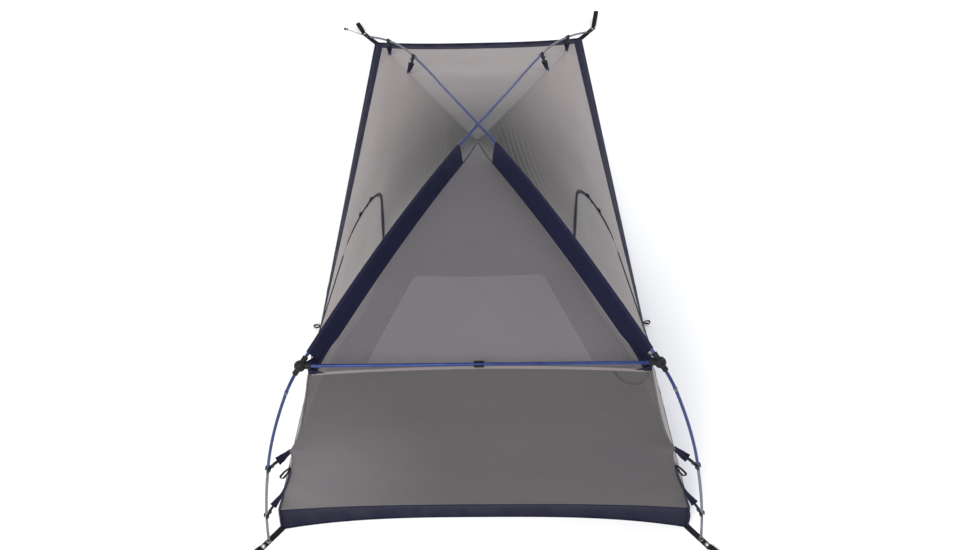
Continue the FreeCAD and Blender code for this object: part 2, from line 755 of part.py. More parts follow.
def build_side(side, word):
    """Side wall with its doorway, the door, both halves of the zip and the two sliders."""
    frame = door_frame(side)
    gap = size("seam_gap")
    inward = mirrored(DOOR_NORMAL, side).normalize() * -CLOTH
    wall = folded_panel(f"side_shape_{word}", side_faces(side), inward)
    doorway = pad(f"doorway_{word}", door_outline(gap), "loop_length", in_frame(frame, 0), True)
    node(cut(f"side_cut_{word}", wall, doorway), f"wall_{word}")
    cloth_depth = -CLOTH if side > 0 else 0
    node(pad(f"door_body_{word}", door_outline(0), "fabric", in_frame(frame, cloth_depth)),
         f"door_{word}")
    tape_depth = 0.1 if side > 0 else -0.1 - size("zip_rise")
    tape_gap = 0.6
    width = size("zip_width")
    wall_tape = zip_band(gap + width, gap + tape_gap)
    node(pad(f"zip_wall_{word}_body", wall_tape, "zip_rise", in_frame(frame, tape_depth)),
         f"zip_wall_{word}")
    door_tape = zip_band(-tape_gap, -width)
    node(pad(f"zip_door_{word}_body", door_tape, "zip_rise", in_frame(frame, tape_depth)),
         f"zip_door_{word}")
    for label, angle in SLIDER_ANGLES.items():
        build_slider(side, word, label, angle, frame)


def build_slider(side, word, label, angle, frame):
    """Zip slider on the rear arc of the zip, with a cord pull that lies inwards from it."""
    turn = math.radians(angle)
    radial = Vector(math.cos(turn), math.sin(turn), 0)
    tangent = Vector(-radial.y, radial.x, 0)
    out = Vector(0, 0, side)
    radius = size("door_arc_radius") + size("seam_gap") / 2
    centre = Vector(0, size("door_arc_up"), 0)
    base = centre + radial * radius + out * (size("zip_rise") + size("slider_lift"))
    half_length, half_width = size("slider_length") / 2, size("slider_width") / 2
    nose = half_length - half_width
    tail = half_width * 0.55
    shape = [
        line((-half_length, -tail), (nose, -half_width)),
        arc((nose, 0), half_width, -90, 90),
        line((nose, half_width), (-half_length, tail)),
        line((-half_length, tail), (-half_length, -tail)),
    ]
    slider_place = frame.multiply(basis(base, tangent, out))
    node(pad(f"slider_{word}_{label}_body", shape, "slider_rise", slider_place),
         f"zip_slider_{word}_{label}")
    reach = size("pull_length") / 2
    half_pull = size("pull_width") / 2
    pull_base = base + out * (size("slider_rise") + 0.3) - radial * reach
    pull_shape = [
        line((-reach, -half_pull), (reach, -half_pull)),
        arc((reach, 0), half_pull, -90, 90),
        line((reach, half_pull), (-reach, half_pull)),
        arc((-reach, 0), half_pull, 90, 270),
    ]
    pull_place = frame.multiply(basis(pull_base, radial, out))
    node(pad(f"pull_{word}_{label}_body", pull_shape, "webbing", pull_place),
         f"zip_pull_{word}_{label}")


def build_bathtub_side(side, word):
    """Side of the bathtub floor: two triangles, because it leans in more towards the rear."""
    rim = [FLOOR_FRONT + hem_lift, FLOOR_REAR + hem_lift, HEM_REAR, HEM_FRONT]
    rim = [mirrored(p, side) for p in pulled_in(rim, 2 * size("seam_gap"))]
    faces = [[rim[0], rim[1], rim[2]], [rim[0], rim[2], rim[3]]]
    if side < 0:
        faces = [points[::-1] for points in faces]
    node(folded_panel(f"bathtub_shape_{word}", faces, Vector(-side * CLOTH, 0, 0)),
         f"bathtub_{word}")


for side, word in SIDES:
    build_bathtub_side(side, word)
    build_side(side, word)


# ---------------------------------------------------------------- pole sleeves
def build_sleeve(side, word):
    """Cloth sleeve round the roof tubes, with a flat web down to the roof seam."""
    route = ARCH[side]
    crossing = crossing_distance(route)
    start = crossing + size("sleeve_start")
    end = route.length - size("sleeve_end")
    solids = []
    arcs = 4
    for i in range(arcs):
        low = start + (end - start) * i / arcs
        high = start + (end - start) * (i + 1) / arcs
        solids.append(arc_tube(f"sheath_{word}_{i}", route, low, high - 0.4,
                               "sheath_outer", "sheath_inner"))
    strips = 3 * arcs
    top, bottom = [], []
    for i in range(strips + 1):
        distance = start + (end - start) * i / strips
        share = (distance - crossing) / (route.length - crossing)
        pole = route.at(distance)
        seam = mirrored(seam_under(share), side)
        down = (seam - pole).normalize()
        top.append(pole + down * (size("sheath_outer") / 2 + 1.2))
        bottom.append(seam - down * 6)
    faces = []
    for i in range(strips):
        faces.append([top[i], top[i + 1], bottom[i + 1]])
        faces.append([top[i], bottom[i + 1], bottom[i]])
    inward = Vector(-side * CLOTH, 0, 0)
    solids.append(folded_panel(f"web_{word}", faces, inward))
    return node(group(f"sleeve_group_{word}", solids), f"sleeve_{word}")


for side, word in SIDES:
    build_sleeve(side, word)


# ---------------------------------------------------------------- corner straps and loops
def ground_frame(origin, direction):
    """Frame flat on the ground with its X along a direction."""
    return basis(origin, direction, Vector(0, 0, 1))


def loop_shape(start):
    """Flat loop of webbing: a long ring that starts at this distance."""
    outer = size("webbing_width") / 2
    inner = outer - size("loop_band")
    far = start + size("loop_length")

    def stadium(half, near):
        return [
            line((near, -half), (far - half, -half)),
            arc((far - half, 0), half, -90, 90),
            line((far - half, half), (near, half)),
            line((near, half), (near, -half)),
        ]

    hole = [
        line((start + size("loop_band"), -inner), (far - outer, -inner)),
        arc((far - outer, 0), inner, -90, 90),
        line((far - outer, inner), (start + size("loop_band"), inner)),
        line((start + size("loop_band"), inner), (start + size("loop_band"), -inner)),
    ]
    return stadium(outer, start) + hole


straps, stake_loops, grommets = {"front": [], "rear": []}, [], []
for side, word in SIDES:
    for end_name, corner, tip in (("front", FLOOR_FRONT, TIP_FRONT), ("rear", FLOOR_REAR, TIP_REAR)):
        foot, foot_tip = mirrored(corner, side), mirrored(tip, side)
        frame = ground_frame(foot, foot_tip - foot)
        first = (foot_tip - foot).Length
        second = first + size("grommet_pitch")
        half = size("webbing_width") / 2
        strap_end = second + half + 3
        outline = loop([(2, -half), (strap_end, -half), (strap_end, half), (2, half)])
        outline += [ring((first, 0), size("grommet_outer")), ring((second, 0), size("grommet_outer"))]
        name = f"{end_name}_{word}"
        straps[end_name].append(pad(f"strap_{name}", outline, "webbing", frame))
        stake_loops.append(pad(f"stake_loop_{name}", loop_shape(strap_end + 0.3), "webbing", frame))
        for index, distance in enumerate((first, second)):
            rings = [ring((distance, 0), size("grommet_outer") - 0.1),
                     ring((distance, 0), size("grommet_bore"))]
            grommets.append(pad(f"grommet_{name}_{index}", rings, "grommet_rise", frame))
    share = 0.345
    edge_point = FLOOR_FRONT * (1 - share) + FLOOR_REAR * share
    side_frame = ground_frame(mirrored(edge_point, side), Vector(side, 0, 0))
    stake_loops.append(pad(f"side_loop_{word}", loop_shape(2), "webbing", side_frame))
    seam = seam_point(side, 0.36)
    leg_distance = LEG[side].length - (size("clip_low") + size("clip_high")) / 2
    outwards = LEG[side].at(leg_distance) - seam
    guy_loops.append(pad(f"guy_loop_{word}", loop_shape(3), "webbing",
                         basis(seam, outwards, LEG[side].tangent(leg_distance))))
node(group("front_straps_group", straps["front"]), "corner_straps_front")
node(group("rear_straps_group", straps["rear"]), "corner_straps_rear")
node(group("grommets_group", grommets), "strap_grommets")
node(group("stake_loops_group", stake_loops), "stake_loops")
node(group("guy_loops_group", guy_loops), "guy_loops")


# ---------------------------------------------------------------- crossbar strap, hub patches
def webbing_strip(name, start, end, width, facing):
    """Flat strip of webbing from point to point, its face turned to a direction."""
    along = end - start
    frame = basis(start, along, facing.cross(along).cross(along) * -1)
    half = width / 2
    return pad(name, loop([(0, -half), (along.Length, -half), (along.Length, half), (0, half)]),
               "webbing", frame)


bar_strap_start = bar_middle + Vector(0, 1.5, -22)
bar_strap_end = Vector(0, HUB_SEAM.y + 12, HUB_SEAM.z + 2)
node(webbing_strip("bar_strap", bar_strap_start, bar_strap_end, 12, Vector(0, -1, 0)),
     "crossbar_strap")


def build_hub_patch(side):
    """Triangle of strong cloth that ties the roof corner to the hub."""
    top = mirrored(HUB, side) - Vector(side * 6, 0, 19)
    seam = mirrored(HUB_SEAM, side)
    corners = [seam + Vector(-side * 30, 6, 4), seam + Vector(0, -2, 4), top + Vector(side * 3, 0, 0), top]
    faces = [[corners[0], corners[1], corners[2]], [corners[0], corners[2], corners[3]]]
    if side < 0:
        faces = [points[::-1] for points in faces]
    return folded_panel(f"hub_patch_{side}", faces, Vector(0, CLOTH, 0))


node(group("hub_patches_group", [build_hub_patch(side) for side in (1, -1)]), "hub_patches")

# ---------------------------------------------------------------- gear loft
loft_y = HUB.y + 32
loft_rear_y = loft_y + size("loft_depth")
loft_z = ROOF_SEAM[-3].z - size("loft_drop")
loft_corners = [
    Vector(-size("loft_front_half"), loft_y, loft_z), Vector(size("loft_front_half"), loft_y, loft_z),
    Vector(size("loft_rear_half"), loft_rear_y, loft_z),
    Vector(-size("loft_rear_half"), loft_rear_y, loft_z),
]
node(fabric_panel("loft_body", loft_corners), "gear_loft")
loft_loops = []
for index, corner in enumerate(loft_corners):
    lean = Vector(6 if corner.x > 0 else -6, 0, size("loft_drop") - 16)
    start = corner + Vector(0, 0, 1.5)
    loft_loops.append(cylinder(f"loft_loop_{index}", start, lean, "Sizes.shock_cord / 2",
                               "Sizes.loft_drop - 20"))
node(group("loft_loops_group", loft_loops), "gear_loft_loops")

# ---------------------------------------------------------------- rear corner cord
# The cord leaves the left rear strap and lies on the ground; its points are in millimetres.
CORD_ROUTE = [(-546, 1134), (-563, 1143), (-581, 1150), (-598, 1161), (-616, 1168)]


def build_cord():
    """Tube of straight runs joined by tangent arcs along the cord's route."""
    radius = size("cord_diameter") / 2
    points = [Vector(x, y, radius) for x, y in CORD_ROUTE]
    edges = []
    here = points[0]
    for before, corner, after in zip(points, points[1:], points[2:]):
        into = (corner - before).normalize()
        out = (after - corner).normalize()
        turn = into.getAngle(out)
        cut_back = 0.45 * min(corner.distanceToPoint(before), after.distanceToPoint(corner))
        bend = cut_back / math.tan(turn / 2)
        bisector = (out - into).normalize()
        centre = corner + bisector * math.hypot(bend, cut_back)
        first, last = corner - into * cut_back, corner + out * cut_back
        middle = centre - bisector * bend
        edges.append(Part.LineSegment(here, first).toShape())
        edges.append(Part.Arc(first, middle, last).toShape())
        here = last
        print("cord bend radius", round(bend, 1))
    edges.append(Part.LineSegment(here, points[-1]).toShape())
    path = Part.Wire(edges)
    section = Part.Wire(Part.makeCircle(radius, points[0], points[1] - points[0]))
    tube = path.makePipeShell([section], True, False)
    feature = doc.addObject("Part::Feature", "corner_cord_shape")
    feature.Shape = tube
    print("cord length", round(path.Length, 1), "volume ratio",
          round(tube.Volume / (math.pi * radius ** 2 * path.Length), 4))
    return feature, points


cord_feature, cord_points = build_cord()
node(cord_feature, "corner_cord")


def build_hook():
    """Small flat plastic hook on the end of the cord."""
    frame = ground_frame(cord_points[-1] - Vector(0, 0, size("cord_diameter") / 2),
                         cord_points[-1] - cord_points[-2])
    reach = size("hook_length")
    outline = [
        line((0.1, -4), (reach - 6, -6)), arc((reach - 6, 0), 6, -90, 90),
        line((reach - 6, 6), (8, 6)), line((8, 6), (8, 3)), line((8, 3), (reach - 6, 3)),
        line((reach - 6, 3), (reach - 6, -2.5)), line((reach - 6, -2.5), (4, -1.5)),
        line((4, -1.5), (4, 4)), line((4, 4), (0.1, 4)), line((0.1, 4), (0.1, -4)),
    ]
    return pad("cord_hook_body", outline, "cord_diameter", frame)


node(build_hook(), "cord_hook")

# ---------------------------------------------------------------- check and write
doc.recompute()
bad = [o.Name for o in doc.Objects if {"Invalid", "Error"} & set(o.State)]
for feature in nodes:
    shape = feature.Shape
    if shape.isNull() or not shape.isValid() or not shape.Solids:
        bad.append(feature.Label)
if bad:
    raise SystemExit("failed features: " + ", ".join(bad))
for feature in nodes:
    feature.Shape.exportStep(f"parts/{feature.Label}.step")
box = FreeCAD.BoundBox()
for feature in nodes:
    box.add(feature.Shape.BoundBox)
print(len(nodes), "nodes", box)
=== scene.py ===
"""Looks of the two-pole tent: cloth, webbing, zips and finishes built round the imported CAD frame.

Metres, +Z up, the tent's wide end towards -Y. Cloth is made for the right side and mirrored."""

import math

import bmesh
import bpy
import numpy as np
from mathutils import Matrix, Vector, noise


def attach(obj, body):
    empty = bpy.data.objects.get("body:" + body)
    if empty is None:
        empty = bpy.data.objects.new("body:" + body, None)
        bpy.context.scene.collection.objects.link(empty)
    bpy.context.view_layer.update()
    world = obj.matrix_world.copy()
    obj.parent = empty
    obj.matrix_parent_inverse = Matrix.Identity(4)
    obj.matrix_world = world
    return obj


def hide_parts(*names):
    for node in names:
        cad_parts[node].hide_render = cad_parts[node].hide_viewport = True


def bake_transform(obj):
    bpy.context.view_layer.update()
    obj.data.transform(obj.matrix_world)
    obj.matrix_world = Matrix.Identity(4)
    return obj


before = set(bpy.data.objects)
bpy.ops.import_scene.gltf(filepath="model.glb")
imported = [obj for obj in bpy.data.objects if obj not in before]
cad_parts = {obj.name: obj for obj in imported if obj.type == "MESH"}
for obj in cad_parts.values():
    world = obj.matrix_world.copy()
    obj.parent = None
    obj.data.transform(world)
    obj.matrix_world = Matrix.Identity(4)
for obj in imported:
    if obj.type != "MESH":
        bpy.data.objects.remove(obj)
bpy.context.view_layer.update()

# ---- camera
CAMERA_AT = (0.0192, -1.39335, 2.73966)
PITCH, YAW, ROLL = 1.13094, 0.05988, -0.06782
camera_data = bpy.data.cameras.new("camera")
camera_data.sensor_width = 36.0
camera_data.lens = 27.826
camera_data.shift_x, camera_data.shift_y = 0.0235, -0.0035
camera_data.clip_start, camera_data.clip_end = 0.05, 100.0
camera = bpy.data.objects.new("camera", camera_data)
bpy.context.scene.collection.objects.link(camera)
bpy.context.scene.camera = camera
ahead = Vector((-math.sin(YAW) * math.cos(PITCH), math.cos(YAW) * math.cos(PITCH), -math.sin(PITCH)))
level = Vector((math.cos(YAW), math.sin(YAW), 0))
above = level.cross(ahead)
cam_right = math.cos(ROLL) * level + math.sin(ROLL) * above
cam_up = -math.sin(ROLL) * level + math.cos(ROLL) * above
turn = Matrix((cam_right, cam_up, -ahead)).transposed().to_4x4()
camera.matrix_world = Matrix.Translation(CAMERA_AT) @ turn


# ---- node helpers
WAVE_UNIT = 0.314159  # period of a wave texture of scale 1


class Nodes:
    """Small builder for one procedural material."""

    def __init__(self, name):
        self.material = bpy.data.materials.new(name)
        self.material.use_nodes = True
        self.tree = self.material.node_tree
        self.bsdf = self.tree.nodes["Principled BSDF"]

    def plug(self, socket, value):
        """Links a socket to an output, or sets it to a number, a vector or an RGB colour."""
        if isinstance(value, bpy.types.NodeSocket):
            self.tree.links.new(value, socket)
        elif socket.type == "RGBA":
            socket.default_value = (*value, 1)
        else:
            socket.default_value = value

    def add(self, kind, settings=None, **inputs):
        made = self.tree.nodes.new(kind)
        for key, value in (settings or {}).items():
            setattr(made, key, value)
        for key, value in inputs.items():
            self.plug(made.inputs[key.replace("_", " ")], value)
        return made

    def where(self, output):
        return self.add("ShaderNodeTexCoord").outputs[output]

    def noise(self, vector, scale, detail=3.0, rough=0.55):
        return self.add("ShaderNodeTexNoise", Vector=vector, Scale=scale, Detail=detail,
                        Roughness=rough).outputs["Fac"]

    def wave(self, vector, period, direction, distortion=0.0):
        """Sine bands with this period in the vector's own unit."""
        return self.add("ShaderNodeTexWave", {"bands_direction": direction}, Vector=vector,
                        Scale=WAVE_UNIT / period, Distortion=distortion).outputs["Fac"]

    def math(self, operation, *values):
        made = self.add("ShaderNodeMath", {"operation": operation})
        for socket, value in zip(made.inputs, values):
            self.plug(socket, value)
        return made.outputs[0]

    def between(self, factor, low, high):
        """Value from low to high as the factor goes from 0 to 1."""
        return self.add("ShaderNodeMapRange", Value=factor, To_Min=low, To_Max=high).outputs["Result"]

    def ramp(self, factor, stops):
        made = self.add("ShaderNodeValToRGB", Fac=factor)
        elements = made.color_ramp.elements
        while len(elements) < len(stops):
            elements.new(0.5)
        for element, (place, colour) in zip(elements, stops):
            element.position = place
            element.color = (*colour, 1)
        return made.outputs["Color"]

    def mixed(self, factor, first, second, blend="MIX"):
        made = self.add("ShaderNodeMix", {"data_type": "RGBA", "blend_type": blend})
        for index, value in ((0, factor), (6, first), (7, second)):
            self.plug(made.inputs[index], value)
        return made.outputs[2]

    def shaded(self, colour, place, measure, vector, start, end, near, far):
        """Painted shade and light: colour times near where a measure, DISTANCE or DOT_PRODUCT, starts, and
        times far at its end.
        """
        field = self.add("ShaderNodeVectorMath", {"operation": measure})
        self.plug(field.inputs[0], place)
        self.plug(field.inputs[1], vector)
        factor = self.add("ShaderNodeMapRange", {"interpolation_type": "SMOOTHSTEP"},
                          Value=field.outputs["Value"], From_Min=start, From_Max=end,
                          To_Min=near, To_Max=far).outputs["Result"]
        grey = self.add("ShaderNodeCombineColor", Red=factor, Green=factor, Blue=factor)
        return self.mixed(1.0, colour, grey.outputs["Color"], "MULTIPLY")

    def finish(self, colour, roughness, heights=(), **results):
        """Connects the results; heights are (height, strength, distance) bumps."""
        results.update(Base_Color=colour, Roughness=roughness)
        for height, strength, distance in heights:
            below = {"Normal": results["Normal"]} if "Normal" in results else {}
            results["Normal"] = self.add("ShaderNodeBump", Height=height, Strength=strength,
                                         Distance=distance, **below).outputs["Normal"]
        for key, value in results.items():
            self.plug(self.bsdf.inputs[key.replace("_", " ")], value)
        return self.material


def cloth_material(name, dark, light, period, rough=0.75, sheen=0.35, alpha=1.0, folds=0.25, shine=0.3,
                   shades=()):
    """Plain woven or knitted cloth: yarns both ways, slow colour change, soft folds.

    The shades are painted shade and painted light: they darken or brighten the colour from place to place, as
    where the dark floor shows through the mesh.
    """
    n = Nodes(name)
    uv, place = n.where("UV"), n.where("Object")
    weave = n.math("MULTIPLY", n.wave(uv, period, "X", 0.4), n.wave(uv, period, "Y", 0.4))
    cloudy = n.noise(place, 3.2, 4)
    fine = n.noise(place, 160.0, 2)
    base = n.ramp(cloudy, [(0.32, dark), (0.70, light)])
    yarn = n.mixed(n.between(weave, 0.0, 0.35), base, tuple(0.55 * c for c in dark))
    colour = n.mixed(n.between(fine, 0.0, 0.25), yarn, tuple(min(1, 1.5 * c) for c in light))
    # painted shade and light laid over the cloth's own colour
    for shade in shades:
        colour = n.shaded(colour, place, *shade)
    roughness = n.between(cloudy, rough - 0.08, rough + 0.08)
    return n.finish(colour, roughness, [(weave, 0.35, 0.0003), (n.noise(place, 14.0, 3), folds, 0.004)],
                    Sheen_Weight=sheen, Sheen_Roughness=0.4, Alpha=alpha, Specular_IOR_Level=shine)


def webbing_material(name, dark, light):
    """Narrow woven tape: ribs across it and two rows of edge yarn."""
    n = Nodes(name)
    uv, place = n.where("UV"), n.where("Object")
    ribs = n.wave(uv, 0.0016, "Y", 0.6)
    rows = n.wave(uv, 0.0024, "X", 0.3)
    weave = n.math("MULTIPLY", ribs, rows)
    dust = n.noise(place, 60.0, 4)
    colour = n.mixed(n.between(weave, 0.0, 0.6), n.ramp(dust, [(0.35, dark), (0.75, light)]), light)
    return n.finish(colour, n.between(dust, 0.62, 0.85), [(weave, 0.6, 0.0005)],
                    Sheen_Weight=0.03, Specular_IOR_Level=0.18)


def metal_material(name, dark, light, rough, metallic=0.9):
    """Drawn tube: fine streaks, handling marks that dull it, and slow colour change."""
    n = Nodes(name)
    place = n.where("Object")
    fine = n.add("ShaderNodeMapping", Vector=place, Scale=(4.0, 4.0, 4.0)).outputs["Vector"]
    streaks = n.noise(fine, 90.0, 5, 0.7)
    marks = n.noise(place, 26.0, 4, 0.65)
    colour = n.ramp(marks, [(0.35, dark), (0.72, light)])
    roughness = n.math("ADD", n.between(streaks, rough - 0.07, rough + 0.05), n.between(marks, 0.0, 0.08))
    return n.finish(colour, roughness, [(streaks, 0.12, 0.0003)], Metallic=metallic)


def plastic_material(name, dark, light, rough=0.45):
    """Moulded plastic with a fine spark-eroded grain and paler handled spots."""
    n = Nodes(name)
    place = n.where("Object")
    grain = n.noise(place, 900.0, 3)
    marks = n.noise(place, 45.0, 4, 0.6)
    return n.finish(n.ramp(marks, [(0.4, dark), (0.8, light)]), n.between(grain, rough - 0.06, rough + 0.12),
                    [(grain, 0.25, 0.0002)], Specular_IOR_Level=0.25)


# Painted shade and light: side walls, back wall and mesh bindings are multiplied by 0.12 at the apex, rising to
# 1.12 a metre from it, for the dark floor seen through the mesh near the crossing.
PAINTED_SHADE_NEAR_APEX = ("DISTANCE", (0.0, 0.02, 0.72), 0.02, 1.00, 0.12, 1.12)
# Painted shade: side walls are multiplied by 0.36 at their front seams, rising to 1.0 about 0.18 m rearwards, a
# dark band along the front edges.
PAINTED_SHADE_NEAR_FRONT_EDGE = ("DOT_PRODUCT", (0.0, 1.0, -0.337), -1.08, -0.90, 0.36, 1.0)
MATERIALS = {
    # Painted shade: the front and roof are the same mesh fabric as the side and back walls, painted about half
    # as bright for the dark floor seen through them. The front mesh also has painted light towards its lower
    # left corner (times 1.22) and painted shade away from it (times 0.60).
    "mesh_front": cloth_material("mesh_front", (0.100, 0.090, 0.096), (0.128, 0.113, 0.114), 0.0012, alpha=0.82,
                                 shades=[("DISTANCE", (-0.66, -1.0, 0.30), 0.0, 0.62, 1.22, 0.60)]),
    "mesh_roof": cloth_material("mesh_roof", (0.108, 0.101, 0.109), (0.132, 0.122, 0.130), 0.0012, alpha=0.76),
    "mesh_side": cloth_material("mesh_side", (0.215, 0.186, 0.180), (0.255, 0.220, 0.209), 0.0012, alpha=0.84,
                                shades=[PAINTED_SHADE_NEAR_APEX, PAINTED_SHADE_NEAR_FRONT_EDGE]),
    "mesh_back": cloth_material("mesh_back", (0.230, 0.198, 0.192), (0.262, 0.227, 0.217), 0.0012, alpha=0.84,
                                shades=[PAINTED_SHADE_NEAR_APEX]),
    "mesh_loft": cloth_material("mesh_loft", (0.49, 0.46, 0.475), (0.60, 0.56, 0.575), 0.0018, alpha=0.80),
    "navy": cloth_material("navy_cloth", (0.0045, 0.0048, 0.0185), (0.0080, 0.0088, 0.030), 0.0009, rough=0.66,
                           sheen=0.0, shine=0.16),
    "floor": cloth_material("floor_cloth", (0.016, 0.016, 0.036), (0.027, 0.027, 0.052), 0.0009, rough=0.6,
                            sheen=0.05, shine=0.2),
    "webbing": webbing_material("black_webbing", (0.0030, 0.0030, 0.0035), (0.0095, 0.0095, 0.011)),
    "tape": webbing_material("zip_tape_cloth", (0.0045, 0.0048, 0.018), (0.0085, 0.0092, 0.030)),
    "binding": cloth_material("mesh_binding", (0.150, 0.130, 0.130), (0.185, 0.160, 0.158), 0.0010,
                              shades=[PAINTED_SHADE_NEAR_APEX]),
    "blue": metal_material("anodised_blue", (0.020, 0.034, 0.125), (0.038, 0.060, 0.19), 0.40, 0.72),
    "silver": metal_material("bare_aluminium", (0.125, 0.128, 0.150), (0.21, 0.215, 0.24), 0.42, 0.92),
    "ferrule": metal_material("polished_ferrule", (0.13, 0.14, 0.20), (0.22, 0.23, 0.30), 0.32, 0.95),
    "grommet": metal_material("nickel_grommet", (0.11, 0.11, 0.105), (0.20, 0.20, 0.19), 0.38, 1.0),
    "slider": metal_material("painted_slider", (0.006, 0.006, 0.010), (0.018, 0.018, 0.026), 0.5, 0.4),
    "plastic": plastic_material("black_plastic", (0.0030, 0.0030, 0.0034), (0.0085, 0.0085, 0.0095), 0.55),
    "coil": plastic_material("nylon_coil", (0.005, 0.005, 0.016), (0.012, 0.013, 0.032), 0.5),
    "thread": webbing_material("sewing_thread", (0.012, 0.013, 0.036), (0.030, 0.032, 0.070)),
    "thread_black": webbing_material("black_thread", (0.012, 0.012, 0.013), (0.030, 0.030, 0.034)),
    "cord": webbing_material("light_cord", (0.20, 0.20, 0.20), (0.42, 0.42, 0.41)),
    "shock": webbing_material("shock_cord", (0.05, 0.05, 0.055), (0.14, 0.14, 0.15)),
}

# ---- finishes of the CAD nodes that stay
ZIP_ENDS = ("right_low", "right_high", "left_low", "left_high")
CAD_FINISH = {
    "blue": [f"pole_{pole}_{part}" for pole in "ab" for part in ("roof_tubes", "elbow", "leg_tube")],
    "silver": ["pole_a_end_tubes", "pole_b_end_tubes"],
    "ferrule": ["pole_ferrules", "crossbar_ferrule"],
    "shock": ["pole_shock_cords", "crossbar_shock_cord", "gear_loft_loops"],
    "plastic": ["pole_tips", "hub_right", "hub_left", "pole_clips_front", "pole_clips_rear",
                "crossbar_clip", "cord_hook"],
    "grommet": ["strap_grommets"],
    "slider": [f"zip_slider_{end}" for end in ZIP_ENDS],
    "webbing": [f"zip_pull_{end}" for end in ZIP_ENDS],
}
CAD_FINISH["blue"].append("crossbar_tubes")
for finish, names in CAD_FINISH.items():
    for name in names:
        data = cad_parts[name].data
        if not data.materials:
            data.materials.append(None)
        for index in range(len(data.materials)):
            data.materials[index] = MATERIALS[finish]


# ---- the CAD model's lines
def point(x, y, z):
    return np.array([x, y, z], float)


def mirror(p):
    return np.asarray(p, float) * np.array([-1.0, 1.0, 1.0])


def on_side(right, side):
    """Points or directions of the right side, or their twins on the left."""
    return right if side > 0 else mirror(right)


def unit(v):
    v = np.asarray(v, float)
    return v / np.linalg.norm(v, axis=-1, keepdims=True)


def as_row(values):
    return np.atleast_1d(np.asarray(values, float))


def travelled(line):
    """Distance along a line at each of its points."""
    return np.concatenate([[0], np.cumsum(np.linalg.norm(np.diff(line, axis=0), axis=1))])


SIDES = ((1, "right"), (-1, "left"))
UP = point(0, 0, 1)
FLOOR_FRONT, FLOOR_REAR = point(0.700, -1.085, 0), point(0.480, 1.085, 0)
HEM_FRONT, HEM_REAR = point(0.684, -1.040, 0.120), point(0.440, 1.010, 0.050)
HUB = point(0.457, -0.791, 0.904)
TIP_FRONT, TIP_REAR = point(0.740, -1.125, 0), point(0.517, 1.122, 0)
CANOPY_DROP, CANOPY_TUCK = 0.046, 0.030


class Route:
    """A Bezier curve that can be read by distance along it."""

    def __init__(self, controls, steps=800):
        t = np.linspace(0, 1, steps + 1)[:, None]
        rows = [np.broadcast_to(np.asarray(c, float), (steps + 1, 3)) for c in controls]
        while len(rows) > 1:
            rows = [a * (1 - t) + b * t for a, b in zip(rows, rows[1:])]
        self.points = rows[0]
        self.along = travelled(self.points)
        self.length = self.along[-1]

    def at(self, distance):
        return np.stack([np.interp(distance, self.along, self.points[:, i]) for i in range(3)], axis=-1)

    def tangent(self, distance, step=0.004):
        return unit(self.at(np.minimum(distance + step, self.length)) - self.at(np.maximum(distance - step, 0)))


def arch_route(lift):
    """Pole over the roof, from the rear left tip to the right hub."""
    return Route([mirror(TIP_REAR), (-0.171, 0.784, 0.359), (-0.135, 0.293, 0.382 + lift),
                  (-0.103, 0.170, 1.042 + lift), HUB])


SEAM_ROUTE = arch_route(0)
CROSSING = SEAM_ROUTE.along[np.argmin(np.abs(SEAM_ROUTE.points[:, 0]))]
CROSSING_LIFT = 0.0085  # one pole passes this far over the middle, the other as far under it
ARCH = {side: arch_route(side * CROSSING_LIFT) for side, _ in SIDES}
LEG = Route([HUB, HUB + point(0.136, -0.130, -0.151), TIP_FRONT + point(-0.021, 0.035, 0.137), TIP_FRONT])
APEX_SHARE = 0.052


def seam_under(share):
    """Edge of the cloth below the right pole, 0 under the crossing and 1 at the hub."""
    share = as_row(share)
    distance = CROSSING + (SEAM_ROUTE.length - CROSSING) * share
    pole, way = SEAM_ROUTE.at(distance), SEAM_ROUTE.tangent(distance)
    inward = unit(np.stack([way[:, 1], -way[:, 0], 0 * share], axis=1))
    tuck = CANOPY_TUCK * np.minimum(1, np.minimum(0.55 + 3 * share, 0.5 + 4 * (1 - share)))
    return pole + inward * tuck[:, None] - np.array([0, 0, CANOPY_DROP])


def roof_seam(share):
    """Edge of the roof on the right, 0 at the apex and 1 at the hub."""
    return seam_under(APEX_SHARE + (1 - APEX_SHARE) * as_row(share))


APEX = roof_seam(0)[0] * np.array([0, 1, 1])
HUB_SEAM = roof_seam(1)[0]


def line_between(a, b, share):
    share = as_row(share)[:, None]
    return np.asarray(a) * (1 - share) + np.asarray(b) * share


def pulled_edge(start, end, share, pull_way, sag, tabs):
    """Cloth edge drawn in by its sag and pulled out at its tabs, each (pull, share, width)."""
    share = as_row(share)
    pull = sum(size * np.exp(-np.abs(share - centre) / width) for size, centre, width in tabs)
    offset = pull - sag * np.sin(math.pi * np.clip(share, 0, 1))
    offset *= np.clip(np.minimum(share, 1 - share) * 12, 0, 1)
    return line_between(start, end, share) + offset[:, None] * unit(pull_way)


def front_edge(share):
    """Front seam on the right, hem 0 to hub 1; its middle pull is the guy loop."""
    return pulled_edge(HEM_FRONT, HUB_SEAM, share, (1, -0.35, 0.05), 0.013,
                       ((0.020, 0.50, 0.055), (0.007, 0.17, 0.05), (0.004, 0.36, 0.03)))


def ridge_edge(share):
    """Rear ridge on the right, hem 0 to apex 1."""
    return pulled_edge(HEM_REAR, APEX, share, (0.5, 0.35, 0.8), 0.010,
                       ((0.014, 0.13, 0.035), (0.016, 0.36, 0.05)))


def bowed(right_end, depth, lift=0.0, power=3.0):
    """Edge from a point's left twin to the point (across -1 to 1), its middle moved along Y and Z."""
    def edge(across):
        across = as_row(across)
        bow = 1 - np.abs(across) ** power
        return np.stack([right_end[0] * across, right_end[1] + depth * bow,
                         right_end[2] + lift * bow], axis=1)
    return edge


